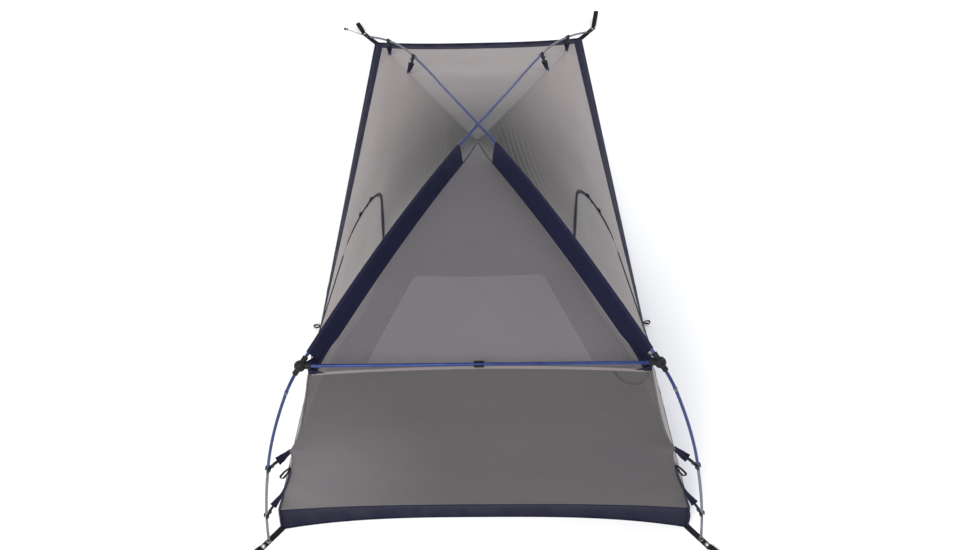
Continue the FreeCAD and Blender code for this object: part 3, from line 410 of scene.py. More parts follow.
floor_front, floor_rear = bowed(FLOOR_FRONT, 0.038), bowed(FLOOR_REAR, -0.017)
hem_front, hem_rear = bowed(HEM_FRONT, 0.016, -0.006), bowed(HEM_REAR, -0.013, -0.003)
roof_front = bowed(HUB_SEAM, 0.009, 0.015, 2.0)  # lifted in the middle by the strap on the crossbar


def hem_side(share):
    share = as_row(share)
    sag = np.sin(math.pi * share)
    return line_between(HEM_FRONT, HEM_REAR, share) - sag[:, None] * np.array([0.006, 0, 0.002])


def floor_side(share):
    return line_between(FLOOR_FRONT, FLOOR_REAR, share)


# ---- mesh helpers
def new_object(name, verts, faces, material, uvs=None, smooth=True):
    data = bpy.data.meshes.new(name)
    data.from_pydata([tuple(v) for v in verts], [], faces)
    if uvs is not None:
        layer = data.uv_layers.new(name="UVMap")
        corner_verts = np.zeros(len(data.loops), np.int32)
        data.loops.foreach_get("vertex_index", corner_verts)
        layer.data.foreach_set("uv", np.asarray(uvs, np.float32)[corner_verts].ravel())
    data.materials.append(MATERIALS[material])
    if smooth:
        data.polygons.foreach_set("use_smooth", [True] * len(data.polygons))
    made = bpy.data.objects.new(name, data)
    bpy.context.scene.collection.objects.link(made)
    return made


def grid_faces(rows, columns, wrap=False, flip=False):
    faces = []
    for low in range(0, (rows - 1) * columns, columns):
        for j in range(columns if wrap else columns - 1):
            k = (j + 1) % columns
            quad = [low + j, low + k, low + columns + k, low + columns + j]
            faces.append(quad[::-1] if flip else quad)
    return faces


def grid_uv(points):
    """Cloth coordinates of a grid in metres, from the mean length of its rows and columns."""
    rows, columns = points.shape[:2]
    across = np.linalg.norm(np.diff(points, axis=1), axis=2).mean(axis=0)
    along = np.linalg.norm(np.diff(points, axis=0), axis=2).mean(axis=1)
    u = np.concatenate([[0], np.cumsum(across)])
    v = np.concatenate([[0], np.cumsum(along)])
    grid_u, grid_v = np.meshgrid(u, v)
    return np.stack([grid_u, grid_v], axis=2).reshape(-1, 2)


def welded(made, distance=0.0002):
    """Merges the points of a grid's collapsed rows."""
    work = bmesh.new()
    work.from_mesh(made.data)
    bmesh.ops.remove_doubles(work, verts=work.verts, dist=distance)
    bmesh.ops.dissolve_degenerate(work, dist=distance / 4, edges=work.edges)
    work.to_mesh(made.data)
    work.free()
    return made


def grid_object(name, points, material, wrap=False, flip=False, weld=False, uvs=None):
    points = np.asarray(points, float)
    rows, columns = points.shape[:2]
    made = new_object(name, points.reshape(-1, 3), grid_faces(rows, columns, wrap, flip), material,
                      grid_uv(points) if uvs is None else uvs)
    return welded(made) if weld else made


def coons(bottom, top, left, right):
    """Surface through four edge curves: bottom and top have one length, left and right the other."""
    columns, rows = len(bottom), len(left)
    s = np.linspace(0, 1, columns)[None, :, None]
    t = np.linspace(0, 1, rows)[:, None, None]
    ruled = bottom[None] * (1 - t) + top[None] * t + left[:, None] * (1 - s) + right[:, None] * s
    return ruled - ((1 - s) * (1 - t) * bottom[0] + s * (1 - t) * bottom[-1]
                    + (1 - s) * t * top[0] + s * t * top[-1])


def relaxed(points, steps=600):
    """Tightens a grid like stretched cloth while its four edges stay where they are."""
    points = points.copy()
    for _ in range(steps):
        inside = points[1:-1, 1:-1]
        around = points[:-2, 1:-1] + points[2:, 1:-1] + points[1:-1, :-2] + points[1:-1, 2:]
        points[1:-1, 1:-1] = 0.5 * inside + 0.125 * around
    return points


def grid_normals(points):
    across = np.gradient(points, axis=1)
    along = np.gradient(points, axis=0)
    normal = np.cross(across, along)
    return normal / np.maximum(np.linalg.norm(normal, axis=2, keepdims=True), 1e-12)


def dome(rows, columns):
    """Weight that is 1 in the middle of a grid and 0 on its edges."""
    s, t = np.linspace(0, 1, columns)[None], np.linspace(0, 1, rows)[:, None]
    return np.sin(math.pi * s) * np.sin(math.pi * t)


def ripple(points, scale, seed):
    """Smooth noise, -1 to 1, read at each point."""
    flat = points.reshape(-1, 3)
    values = [noise.noise(Vector((p[0] * scale + seed, p[1] * scale, p[2] * scale))) for p in flat]
    return np.array(values).reshape(points.shape[:-1])


def rumpled(points, amount, scale, seed):
    """The grid moved along its normals by smooth noise that fades out at the edges."""
    weight = np.minimum(1, 4 * dome(*points.shape[:2]))
    shift = ripple(points, scale, seed) * weight * amount
    return points + grid_normals(points) * shift[..., None]


def applied(made, kind, **settings):
    """Applies one modifier to the mesh."""
    modifier = made.modifiers.new(kind.lower(), kind)
    for key, value in settings.items():
        setattr(modifier, key, value)
    bpy.context.view_layer.update()
    graph = bpy.context.evaluated_depsgraph_get()
    data = bpy.data.meshes.new_from_object(made.evaluated_get(graph))
    made.modifiers.clear()
    made.data = data


def finish_piece(made, body, node=None):
    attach(made, body)
    if node:
        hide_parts(node)
    return made


def piece(name, grid, material, side=1, body="tent", node=None, flip=False, depth=0.0, **more):
    """Piece made from the grid of its right-side twin; depth makes a solid of it."""
    made = grid_object(name, on_side(grid, side), material, flip=flip != (side < 0), **more)
    if depth:
        applied(made, "SOLIDIFY", thickness=depth, offset=0.0)
    return finish_piece(made, body, node)


def sheet(made):
    """Works out the loop triangles of a cloth's mesh."""
    made.data.calc_loop_triangles()


# ---- ribbons, bindings and stitches
GROMMET_HOLE = 0.0068


def tangents(line):
    return unit(np.gradient(np.asarray(line, float), axis=0))


def drilled(made, centre):
    """Cuts a round hole for a grommet."""
    work = bmesh.new()
    bmesh.ops.create_cone(work, cap_ends=True, segments=32, radius1=GROMMET_HOLE, radius2=GROMMET_HOLE,
                          depth=0.02)
    data = bpy.data.meshes.new("drill")
    work.to_mesh(data)
    work.free()
    tool = bpy.data.objects.new("drill", data)
    tool.location = centre
    bpy.context.scene.collection.objects.link(tool)
    applied(made, "BOOLEAN", operation="DIFFERENCE", object=tool, solver="EXACT")
    bpy.data.objects.remove(tool)
    bpy.data.meshes.remove(data)


def swept(name, line, wide, width, depth, material, node=None, rounding=6, holes=()):
    """Flat band with rounded edges swept along a line; wide is its direction across, at each point."""
    line = np.asarray(line, float)
    wide = np.broadcast_to(np.asarray(wide, float), line.shape)
    thick = unit(np.cross(tangents(line), wide))
    width = np.broadcast_to(np.asarray(width, float), (len(line),))
    rows = []
    for sign in (1, -1):
        for angle in np.linspace(-math.pi / 2, math.pi / 2, rounding):
            reach = sign * (width / 2 - depth / 2 + math.cos(angle) * depth / 2)
            rows.append(line + wide * reach[:, None] + thick * (sign * math.sin(angle) * depth / 2))
    made = grid_object(name, np.stack(rows, axis=1), material, wrap=True, flip=True)
    work = bmesh.new()
    work.from_mesh(made.data)
    bmesh.ops.holes_fill(work, edges=[e for e in work.edges if e.is_boundary], sides=0)
    bmesh.ops.recalc_face_normals(work, faces=work.faces)
    work.to_mesh(made.data)
    work.free()
    for hole in holes:
        drilled(made, hole)
    return finish_piece(made, "tent", node)


def along_line(line, facing):
    """Directions across and out of a band that follows a line with its face turned to facing."""
    way = tangents(line)
    facing = np.broadcast_to(np.asarray(facing, float), way.shape)
    wide = unit(np.cross(facing, way))
    return wide, unit(np.cross(way, wide))


def binding(name, line, facing, width, material, depth=0.0018, lift=0.0):
    """Folded tape that closes a seam."""
    wide, out = along_line(line, facing)
    return swept(name, line + out * lift, wide, width, depth, material)


def stitches(name, line, facing, material="thread", body="tent", pitch=0.0042,
             length=0.0026, lift=0.0006, radius=0.00035):
    """Row of thread stitches lying on cloth along a line."""
    line = resampled(np.asarray(line, float), pitch)
    facing = np.asarray(facing, float)
    if facing.ndim > 1:
        pick = np.linspace(0, len(facing) - 1, len(line)).round().astype(int)
        facing = facing[pick]
    wide, out = along_line(line, facing)
    way = tangents(line)
    verts, faces = [], []
    for centre, w, o, t in zip(line + out * lift, wide, out, way):
        start = len(verts)
        for step, size in ((-0.5, 0.25), (-0.3, 1.0), (0.3, 1.0), (0.5, 0.25)):
            for a, b in ((1, 0), (0, 1), (-1, 0), (0, -1)):
                verts.append(centre + t * length * step + (w * a + o * b) * radius * size)
        for row in range(3):
            for k in range(4):
                low, high = start + row * 4, start + (row + 1) * 4
                faces.append([low + k, low + (k + 1) % 4, high + (k + 1) % 4, high + k])
        faces.append([start + k for k in (3, 2, 1, 0)])
        faces.append([start + 12 + k for k in range(4)])
    uvs = np.tile([[0, 0], [0.001, 0], [0.001, 0.001], [0, 0.001]], (len(verts) // 4, 1))
    made = new_object(name, verts, faces, material, uvs)
    return finish_piece(made, body)


def curve_through(points, count):
    """Smooth line through a few points, by Catmull-Rom."""
    points = np.asarray(points, float)
    padded = np.concatenate([[2 * points[0] - points[1]], points, [2 * points[-1] - points[-2]]])
    result = []
    for where in np.linspace(0, len(points) - 1, count):
        i = min(int(where), len(points) - 2)
        t = where - i
        a, b, c, d = padded[i:i + 4]
        result.append(0.5 * (2 * b + (c - a) * t + (2 * a - 5 * b + 4 * c - d) * t ** 2
                             + (3 * b - a - 3 * c + d) * t ** 3))
    return np.array(result)


# ---- rear corner cord
CORD_ROUTE = [(-0.546, 1.134), (-0.563, 1.143), (-0.581, 1.150), (-0.598, 1.161), (-0.616, 1.168)]
CORD_HEIGHT, CORD_DIAMETER = 0.0015, 0.003
cord_curve = bpy.data.curves.new("rear_cord", "CURVE")
cord_curve.dimensions = "3D"
cord_curve.bevel_depth = CORD_DIAMETER / 2
cord_curve.bevel_resolution = 3
cord_curve.use_fill_caps = True
spline = cord_curve.splines.new("NURBS")
spline.points.add(len(CORD_ROUTE) - 1)
for control, (x, y) in zip(spline.points, CORD_ROUTE):
    control.co = (x, y, CORD_HEIGHT, 1)
spline.order_u = 3
spline.use_endpoint_u = True
spline.resolution_u = 12
cord_curve.materials.append(MATERIALS["cord"])
rear_cord = bpy.data.objects.new("rear_cord", cord_curve)
bpy.context.scene.collection.objects.link(rear_cord)
finish_piece(rear_cord, "tent", "corner_cord")

# ---- bathtub floor
ACROSS, ALONG = np.linspace(-1, 1, 61), np.linspace(0, 1, 81)
floor_grid = coons(floor_front(ACROSS), floor_rear(ACROSS), mirror(floor_side(ALONG)), floor_side(ALONG))
floor_grid[..., 2] += 0.0012 + 0.0012 * dome(81, 61) * (1 + ripple(floor_grid, 9, 3))
sheet(piece("floor_cloth", floor_grid, "floor", node="floor_sheet"))


def strip_between(low, high, rows, bulge, seed, pucker=0.004):
    """Wall of cloth between two lines, bulging and puckered along its length."""
    share = np.linspace(0, 1, rows)[:, None, None]
    points = low[None] * (1 - share) + high[None] * share
    normal = grid_normals(points)
    fold = np.array([noise.noise(Vector((d * 16, seed, 0.3))) + 0.5 * noise.noise(Vector((d * 41, seed, 2.1)))
                     for d in travelled(low)])
    weight = np.sin(math.pi * share[..., 0])
    slant = ripple(points, 11, seed)
    return points + normal * (weight * (bulge + pucker * (fold[None] + 0.6 * slant)))[..., None]


LONG_ACROSS, LONG_ALONG, OFF_GROUND = np.linspace(-1, 1, 161), np.linspace(0, 1, 221), [0, 0, 0.0015]
front_strip = strip_between(floor_front(LONG_ACROSS) + OFF_GROUND, hem_front(LONG_ACROSS), 15, -0.006,
                            5.0, 0.006)
rear_strip = strip_between(hem_rear(LONG_ACROSS), floor_rear(LONG_ACROSS) + OFF_GROUND, 11, -0.003, 8.0, 0.003)
tubs = [("front", 1, front_strip, (0.125, 1.40)), ("rear", 1, rear_strip, (0.09, 0.94))]
for side, word in SIDES:
    strip = strip_between(floor_side(LONG_ALONG) + OFF_GROUND, hem_side(LONG_ALONG), 11, 0.004, 20.0 + side)
    tubs.append((word, side, strip, (0.12, 2.18)))
for word, side, strip, flat in tubs:
    sheet(piece(f"bathtub_{word}_cloth", strip, "navy", side, node=f"bathtub_{word}"))


# ---- canopy: front, roof and back
def spanned(edge, across):
    """Grid with one level row from side to side for each point of the right edge."""
    return np.stack([edge[:, None, 0] * across,
                     *(np.repeat(edge[:, None, axis], len(across), axis=1) for axis in (1, 2))], axis=2)


wall_rows = np.linspace(0, 1, 71)
edge_right = front_edge(wall_rows)
front_grid = relaxed(coons(hem_front(ACROSS), roof_front(ACROSS), mirror(edge_right), edge_right))
front_grid[..., 1] += 0.008 * dome(71, 61)
front_grid = rumpled(front_grid, 0.0022, 4.5, 11.0)
front_cloth = piece("wall_front_cloth", front_grid, "mesh_front", node="wall_front")

roof_rows = np.linspace(0, 1, 97) ** 1.15
seam = roof_seam(roof_rows)
seam[0] = APEX
roof_grid = spanned(seam, ACROSS)
fade = (np.clip((roof_rows - 0.55) / 0.45, 0, 1) ** 2)[:, None, None]
roof_grid += (roof_front(ACROSS) - roof_grid[-1])[None] * fade
roof_grid[..., 2] -= (1 - ACROSS ** 2) * (seam[:, None, 0] * 0.045) * (1 - fade[..., 0])
roof_grid = rumpled(roof_grid, 0.0018, 5.0, 17.0)
roof_cloth = piece("roof_cloth", roof_grid[::-1], "mesh_roof", node="roof_panel", weld=True)

ridge = ridge_edge(wall_rows)
back_across = ACROSS[::-1]
back_grid = spanned(ridge, back_across)
fade = ((1 - wall_rows) ** 6)[:, None, None]
back_grid += (hem_rear(back_across) - back_grid[0])[None] * fade
back_grid[..., 2] -= (1 - back_across ** 2) * (ridge[:, None, 0] * 0.06) * (1 - fade[..., 0])
back_grid = rumpled(relaxed(back_grid, 60), 0.0020, 5.0, 23.0)
back_cloth = piece("wall_back_cloth", back_grid, "mesh_back", node="wall_back", weld=True)

# ---- doors
DOOR_CENTRE = point(0.395, -0.133, 0.403)
DOOR_NORMAL = unit(point(0.844, 0.202, 0.496))
hem_way = HEM_REAR - HEM_FRONT
DOOR_X = unit(hem_way - DOOR_NORMAL * hem_way.dot(DOOR_NORMAL))
DOOR_Y = np.cross(DOOR_NORMAL, DOOR_X)
HINGE_Y, REAR_ARC_Y, REAR_RADIUS, TOP_Y, TOP_RADIUS = -0.242, -0.070, 0.172, 0.310, 0.130
DOOR_FRONT_X, DOOR_CORNER, DOOR_SLOPE, SEAM_GAP = -0.440, 0.050, math.radians(55), 0.0016
DOOR_MIDDLE = np.array([-0.13, 0.02])


def in_door(xy, height=0.0):
    """Points of the door's plane, right side, in the tent's frame."""
    xy, height = np.asarray(xy, float), np.asarray(height, float)
    return DOOR_CENTRE + xy[..., :1] * DOOR_X + xy[..., 1:2] * DOOR_Y + height[..., None] * DOOR_NORMAL


def on_door(points):
    """Coordinates of points in the door's plane."""
    return np.stack([(points - DOOR_CENTRE) @ DOOR_X, (points - DOOR_CENTRE) @ DOOR_Y], axis=-1)


def door_line(grow, closed=True, trim=0.0):
    """The D as a chain of points, from the rear end of its hinge line up, over and down."""
    rise = TOP_Y - TOP_RADIUS - REAR_ARC_Y - (REAR_RADIUS - TOP_RADIUS) * math.sin(DOOR_SLOPE)
    shoulder_x = (REAR_RADIUS - TOP_RADIUS) * math.cos(DOOR_SLOPE) - rise * math.tan(DOOR_SLOPE)
    arcs = [
        ((0, REAR_ARC_Y), REAR_RADIUS + grow, -math.pi / 2 + trim, DOOR_SLOPE),
        ((shoulder_x, TOP_Y - TOP_RADIUS), TOP_RADIUS + grow, DOOR_SLOPE, math.pi / 2),
        ((DOOR_FRONT_X + TOP_RADIUS, TOP_Y - TOP_RADIUS), TOP_RADIUS + grow, math.pi / 2, math.pi),
        ((DOOR_FRONT_X + DOOR_CORNER, HINGE_Y + DOOR_CORNER), DOOR_CORNER + grow, math.pi,
         1.5 * math.pi - trim),
    ]
    chain = []
    for (x, y), radius, start, end in arcs:
        angles = np.linspace(start, end, 40)
        chain.append(np.stack([x + radius * np.cos(angles), y + radius * np.sin(angles)], axis=1))
    chain = np.concatenate(chain)
    return np.concatenate([chain, chain[:1]]) if closed else chain


def resampled(chain, step):
    """Points at an even distance along a chain."""
    along = travelled(chain)
    count = max(2, int(round(along[-1] / step)) + 1)
    where = np.linspace(0, along[-1], count)
    return np.stack([np.interp(where, along, chain[:, i]) for i in range(chain.shape[1])], axis=1)


def door_at(angles, grow):
    """Where rays from the door's middle, at these angles, cross the D."""
    chain = resampled(door_line(grow), 0.001) - DOOR_MIDDLE
    own = np.unwrap(np.arctan2(chain[:, 1], chain[:, 0]))
    order = np.argsort(own)
    own, chain = own[order], chain[order]
    wrapped = (angles - own[0]) % (2 * math.pi) + own[0]
    return np.stack([np.interp(wrapped, own, chain[:, i]) for i in range(2)], axis=1) + DOOR_MIDDLE


# rim of the side wall, counter-clockwise from outside: hem, rear ridge, roof seam, front seam
rim = np.concatenate([
    hem_side(np.linspace(0, 1, 120, endpoint=False)),
    ridge_edge(np.linspace(0, 1, 90, endpoint=False)),
    np.concatenate([[APEX], roof_seam(np.linspace(0, 1, 90, endpoint=False))[1:]]),
    front_edge(np.linspace(1, 0, 80, endpoint=False)),
])
rim_flat = on_door(rim) - DOOR_MIDDLE
rim_angles = np.arctan2(rim_flat[:, 1], rim_flat[:, 0])
doorway = in_door(door_at(rim_angles, SEAM_GAP))
RINGS = 56
share = (np.linspace(0, 1, RINGS) ** 1.1)[:, None, None]
side_grid = doorway[None] * (1 - share) + rim[None] * share
for _ in range(500):
    neighbours = (np.roll(side_grid, 1, axis=1) + np.roll(side_grid, -1, axis=1))[1:-1]
    side_grid[1:-1] = 0.5 * side_grid[1:-1] + 0.125 * (neighbours + side_grid[:-2] + side_grid[2:])


def creased(points, seed, strength):
    """Side wall with fine tension creases from the rear ridge towards the top of the door."""
    flat = on_door(points)
    flat_x, flat_y = flat[..., 0], flat[..., 1]
    ring = np.linspace(0, 1, points.shape[0])[:, None]
    edge = np.clip(np.minimum(ring, 1 - ring) * 9, 0, 1)
    zone = np.exp(-((flat_x - 0.27) / 0.26) ** 2 - ((flat_y - 0.36) / 0.10) ** 2)
    waves = np.sin((flat_y + 0.16 * flat_x) / 0.024 * 2 * math.pi + 1.3 * ripple(points, 5, seed))
    slack = ripple(points, 5.0, seed + 4)
    fold = np.exp(-((flat_y - 0.30 + 0.5 * (flat_x - 0.35)) / 0.03) ** 2 - ((flat_x - 0.42) / 0.2) ** 2)
    shift = edge * (strength * zone * waves * 0.0034 + 0.0022 * slack - 0.006 * fold)
    return points + grid_normals(points) * shift[..., None]


def beside_edge(grid, distances):
    """Rows of points at these distances from a grid's first row, measured down each column."""
    steps = np.linalg.norm(np.diff(grid, axis=0), axis=2)
    along = np.concatenate([np.zeros((1, grid.shape[1])), np.cumsum(steps, axis=0)])
    rows = np.empty((len(distances), grid.shape[1], 3))
    for column in range(grid.shape[1]):
        for axis in range(3):
            rows[:, column, axis] = np.interp(distances, along[:, column], grid[:, column, axis])
    return rows


ZIP_WIDTH, ZIP_LIFT, ZIP_END = 0.0068, 0.0015, 0.024


def zip_tape(part, word, grid, side, body, turned):
    """Half of the zip's tape, on the cloth round the doorway or round the door's edge, open at the hinge."""
    rows = beside_edge(grid, np.linspace(0.0002, ZIP_WIDTH, 6))
    above_hinge = np.flatnonzero(on_door(rows[0])[:, 1] > HINGE_Y + ZIP_END)
    gap = np.flatnonzero(np.diff(above_hinge) > 1)
    order = np.roll(above_hinge, -(gap[0] + 1)) if len(gap) else above_hinge
    rows = rows[:, order] + DOOR_NORMAL * ZIP_LIFT
    piece(f"zip_tape_{part}_{word}", rows, "tape", side, body, f"zip_{part}_{word}", flip=turned)
    stitches(f"stitch_zip_{part}_{word}", on_side(rows[4], side), on_side(DOOR_NORMAL, side), body=body,
             lift=0.0003)


DOOR_RINGS = 28
turns = np.linspace(0, 2 * math.pi, 240, endpoint=False)
door_rim = door_at(turns, 0.0)
door_share = np.linspace(1, 0, DOOR_RINGS)[:, None]
side_cloths = []
for side, word in SIDES:
    wall = creased(side_grid.copy(), 31.0 + side, 1.0 if side > 0 else 0.15)
    side_cloths.append(piece(f"wall_{word}_cloth", wall, "mesh_side", side, node=f"wall_{word}", wrap=True,
                             uvs=on_door(wall).reshape(-1, 2)))
    zip_tape("wall", word, wall, side, "tent", False)
    flat = DOOR_MIDDLE + door_share[..., None] * (door_rim - DOOR_MIDDLE)[None]
    slack = -0.007 * (1 - door_share ** 2) ** 2 * np.ones((1, len(turns)))
    leaf = in_door(flat, slack)
    leaf += DOOR_NORMAL * (0.0020 * (1 - door_share ** 2) * ripple(leaf, 7, 51.0 + side))[..., None]
    door = piece(f"door_{word}_cloth", leaf, "mesh_side", side, f"door_{word}", f"door_{word}", flip=True,
                 wrap=True, weld=True, uvs=on_door(leaf).reshape(-1, 2))
    sheet(door)
    zip_tape("door", word, leaf, side, f"door_{word}", True)

for cloth, flat in ((front_cloth, (0.89, 1.40)), (roof_cloth, (0.90, 0.90)), (back_cloth, (0.87, 1.20)),
                    *((wall, (0.98, 2.10)) for wall in side_cloths)):
    sheet(cloth)

# ---- seams of the canopy
corner = line_between(FLOOR_FRONT + [0, 0, 0.002], HEM_FRONT, np.linspace(0, 1, 14))[:-1]
rear_corner = line_between(FLOOR_REAR + [0, 0, 0.0025], HEM_REAR, np.linspace(0, 1, 10))
roof_line = roof_seam(np.linspace(0, 1, 100))
roof_line[0] = APEX
FLOOR_SEAM_RISE = [0, 0, 0.0034]
THICK, THIN, FLAT = 0.0026, 0.0018, 0.0012  # of the bindings
SIDE_SEAMS = (  # line and facing on the right side, width, material, depth and lift
    ("corner", np.concatenate([corner, front_edge(np.linspace(0, 0.37, 60))]), (0.8, -0.6, 0.2), 0.010,
     "navy", THICK, 0.0),
    ("front", front_edge(np.linspace(0.37, 1, 90)), (0.8, -0.6, 0.2), 0.006, "mesh_front", THIN, 0.0),
    ("rear_corner", rear_corner, (1, 1, 0.3), 0.009, "navy", THICK, 0.0),
    ("ridge", ridge_edge(np.linspace(0, 1, 120)), (0.4, 0.5, 0.8), 0.005, "binding", FLAT, 0.0),
    ("hem", hem_side(np.linspace(0, 1, 120)), (1, 0, 0.5), 0.007, "navy", THIN, 0.0004),
    ("floor", floor_side(np.linspace(0, 1, 60)) + FLOOR_SEAM_RISE, (1, 0, 0.6), 0.007, "navy", THIN, 0.0),
    ("roof", roof_line, UP, 0.005, "binding", FLAT, 0.0),
)
for side, word in SIDES:
    for name, line, facing, width, material, depth, lift in SIDE_SEAMS:
        binding(f"seam_{name}_{word}", on_side(line, side), on_side(facing, side), width, material, depth, lift)
    stitches(f"stitch_hem_{word}", on_side(hem_side(np.linspace(0.01, 0.99, 80)) - [0, 0, 0.005], side),
             point(side, 0, 0.15), lift=0.0012)
for name, line, facing in (("hem_front", hem_front(ACROSS), point(0, -1, 0.6)),
                           ("hem_rear", hem_rear(ACROSS), point(0, 1, 0.8)),
                           ("floor_front", floor_front(ACROSS) + FLOOR_SEAM_RISE, point(0, -1, 0.8)),
                           ("floor_rear", floor_rear(ACROSS) + FLOOR_SEAM_RISE, point(0, 1, 0.8))):
    binding(f"seam_{name}", line, facing, 0.007, "navy")
WITHIN_CORNERS = np.linspace(-0.98, 0.98, 80)
binding("seam_roof_front", roof_front(WITHIN_CORNERS), point(0, -0.7, 0.7), 0.008, "binding")
for name, edge, facing in (("front", hem_front, point(0, -1, 0.3)), ("rear", hem_rear, point(0, 1, 0.8))):
    stitches(f"stitch_hem_{name}", edge(WITHIN_CORNERS) - [0, 0, 0.0055], facing, lift=0.0016)

# ---- pole sleeves
SLEEVE_START, SLEEVE_END, SHEATH_RADIUS, SLEEVE_CUT = 0.150, 0.040, 0.0066, 0.034
TAIL_STEPS, WRAP_STEPS, SLEEVE_ROWS, WRAP_ANGLE = 7, 13, 170, 2.05
CUT_LENGTH, HUB_PUCKERS, HALF_CLOTH = 0.15, 0.12, 0.0012


def sleeve_grid(route, seed):
    """Rings of a closed teardrop: round the pole, then both layers down to the roof seam."""
    crossing = route.along[np.argmin(np.abs(route.points[:, 0]))]
    start, end = crossing + SLEEVE_START, route.length - SLEEVE_END

    def section(distance):
        """Pole, seam, and the directions down to the seam and across the sleeve."""
        pole, way = route.at(distance), route.tangent(distance)
        seam_here = seam_under(min(1.0, (distance - crossing) / (route.length - crossing)))[0]
        down = seam_here - pole
        down = unit(down - way * down.dot(way))
        return pole, seam_here, down, np.cross(way, down)

    rings = []
    for base in np.linspace(start, end, SLEEVE_ROWS):
        cut_here = SLEEVE_CUT * max(0.0, 1 - (base - start) / CUT_LENGTH)
        near_hub = max(0.0, 1 - (end - base) / HUB_PUCKERS)
        layers = {1: [], -1: []}
        for sign, layer in layers.items():
            for step in range(1, TAIL_STEPS + 1):
                part = step / TAIL_STEPS
                pole, seam_here, down, across = section(base + cut_here * part)
                outward = across * sign
                shoulder = pole + SHEATH_RADIUS * (outward * math.sin(WRAP_ANGLE) - down * math.cos(WRAP_ANGLE))
                foot = seam_here + outward * HALF_CLOTH
                pucker = noise.noise(Vector((base * 22, part * 2.2, seed))) * (0.0016 + 0.0030 * near_hub)
                pucker += noise.noise(Vector((base * 60, part * 1.1, seed + 9))) * 0.0008
                layer.append(shoulder * (1 - part) + foot * part
                             + across * (pucker * math.sin(math.pi * part) + sign * 0.0008 * (1 - part)))
        pole, seam_here, down, across = section(base)
        wrapped = []
        for angle in np.linspace(-WRAP_ANGLE, WRAP_ANGLE, WRAP_STEPS):
            swell = 1 + 0.04 * noise.noise(Vector((base * 30, angle, seed)))
            wrapped.append(pole + SHEATH_RADIUS * swell * (across * math.sin(angle) - down * math.cos(angle)))
        rings.append(layers[-1][::-1] + wrapped + layers[1])
    return np.array(rings)


for side, word in SIDES:
    rings = sleeve_grid(ARCH[side], 61.0 + side)
    sleeve = piece(f"sleeve_{word}_cloth", rings, "navy", side, node=f"sleeve_{word}")
    outer = TAIL_STEPS + WRAP_STEPS
    face = on_side(unit(np.cross(tangents(rings[:, outer + 2]), rings[:, -1] - rings[:, outer])), side)[4:-4]
    lines = on_side(rings, side)[4:-4]
    near, far = lines[:, -2], lines[:, 1]
    face = face * np.sign((face * (near - far)).sum(axis=1, keepdims=True))
    rows = [stitches(f"stitch_sleeve_{word}_{k}", line, facing, lift=0.0005)
            for k, (line, facing) in enumerate(((lines[:, outer + 1], face), (near, face), (far, -face)))]
    sheet(sleeve)

# ---- hub and corner patches
PATCH_FROM, PATCH_LIFT, LAP_LIFT, LAP_DEPTH = 0.90, 0.0022, 0.0016, 0.020
PATCH_THICK, LAP_THICK = 0.0012, 0.0010
for side, word in SIDES:
    rim_line = np.concatenate([roof_seam(np.linspace(PATCH_FROM, 1.0, 9))[:-1],
                               roof_front(np.linspace(1.0, PATCH_FROM, 7))]) + [0, 0, PATCH_LIFT]
    sweep = np.linspace(0, 1, len(rim_line))
    top_line = HUB + point(-0.004, 0.004, -0.0185) + np.stack(
        [-0.010 * np.sin(math.pi * sweep), 0.014 * (1 - sweep) - 0.004, 0 * sweep], axis=1)
    share = np.linspace(0, 1, 12)[:, None, None]
    patch = rim_line[None] * (1 - share) + top_line[None] * share
    patch[..., 2] -= 0.004 * np.sin(math.pi * share[..., 0])
    made = piece(f"hub_patch_{word}_cloth", patch, "navy", side, node="hub_patches" if side > 0 else None,
                 depth=PATCH_THICK)
    sheet(made)
    lap_rows = np.linspace(PATCH_FROM, 1.0, 12)
    inward = np.stack([-LAP_DEPTH * lap_rows ** 6, -0.001 + 0 * lap_rows, 0 * lap_rows], axis=1)
    lap = roof_seam(lap_rows)[:, None] + (inward[:, None] * np.linspace(0, 1, 9)[None, :, None]
                                          * ((lap_rows - 0.89) / 0.11)[:, None, None])
    lap[..., 2] += LAP_LIFT
    sheet(piece(f"corner_patch_{word}_cloth", lap, "navy", side, depth=LAP_THICK))


# ---- clip tabs
def strip_points(start, end, start_wide, end_wide, start_width, end_width, sag, seed):
    """Twisting strip of cloth between two places, its width direction turning on the way."""
    t = np.linspace(0, 1, 18)[:, None]
    ease = t * t * (3 - 2 * t)
    centre = start * (1 - t) + end * t - UP * sag * np.sin(math.pi * t)
    wide = unit(start_wide * (1 - ease) + end_wide * ease)
    width = start_width * (1 - t) + end_width * t
    swell = 1 + 0.10 * np.array([noise.noise(Vector((s * 5, seed, 0))) for s in t[:, 0]])[:, None]
    s = np.linspace(-0.5, 0.5, 7)[None, :, None]
    points = centre[:, None] + wide[:, None] * (width * swell)[:, None] * s
    crown = (0.25 - s[..., 0] ** 2) * 0.010
    return points + grid_normals(points) * crown[..., None]


CLIP_AT = {"low": 0.220, "high": 0.540}
TAIL_REACH, TAB_ROOT_WIDTH, TAB_END_WIDTH, TAB_THICK = 0.0190, 0.014, 0.026, 0.0016
TAB_SHARE, KEEPER_FROM, KEEPER_TO, KEEPER_THICK = 0.74, 0.50, 1.02, 0.0042  # of the way to the clip


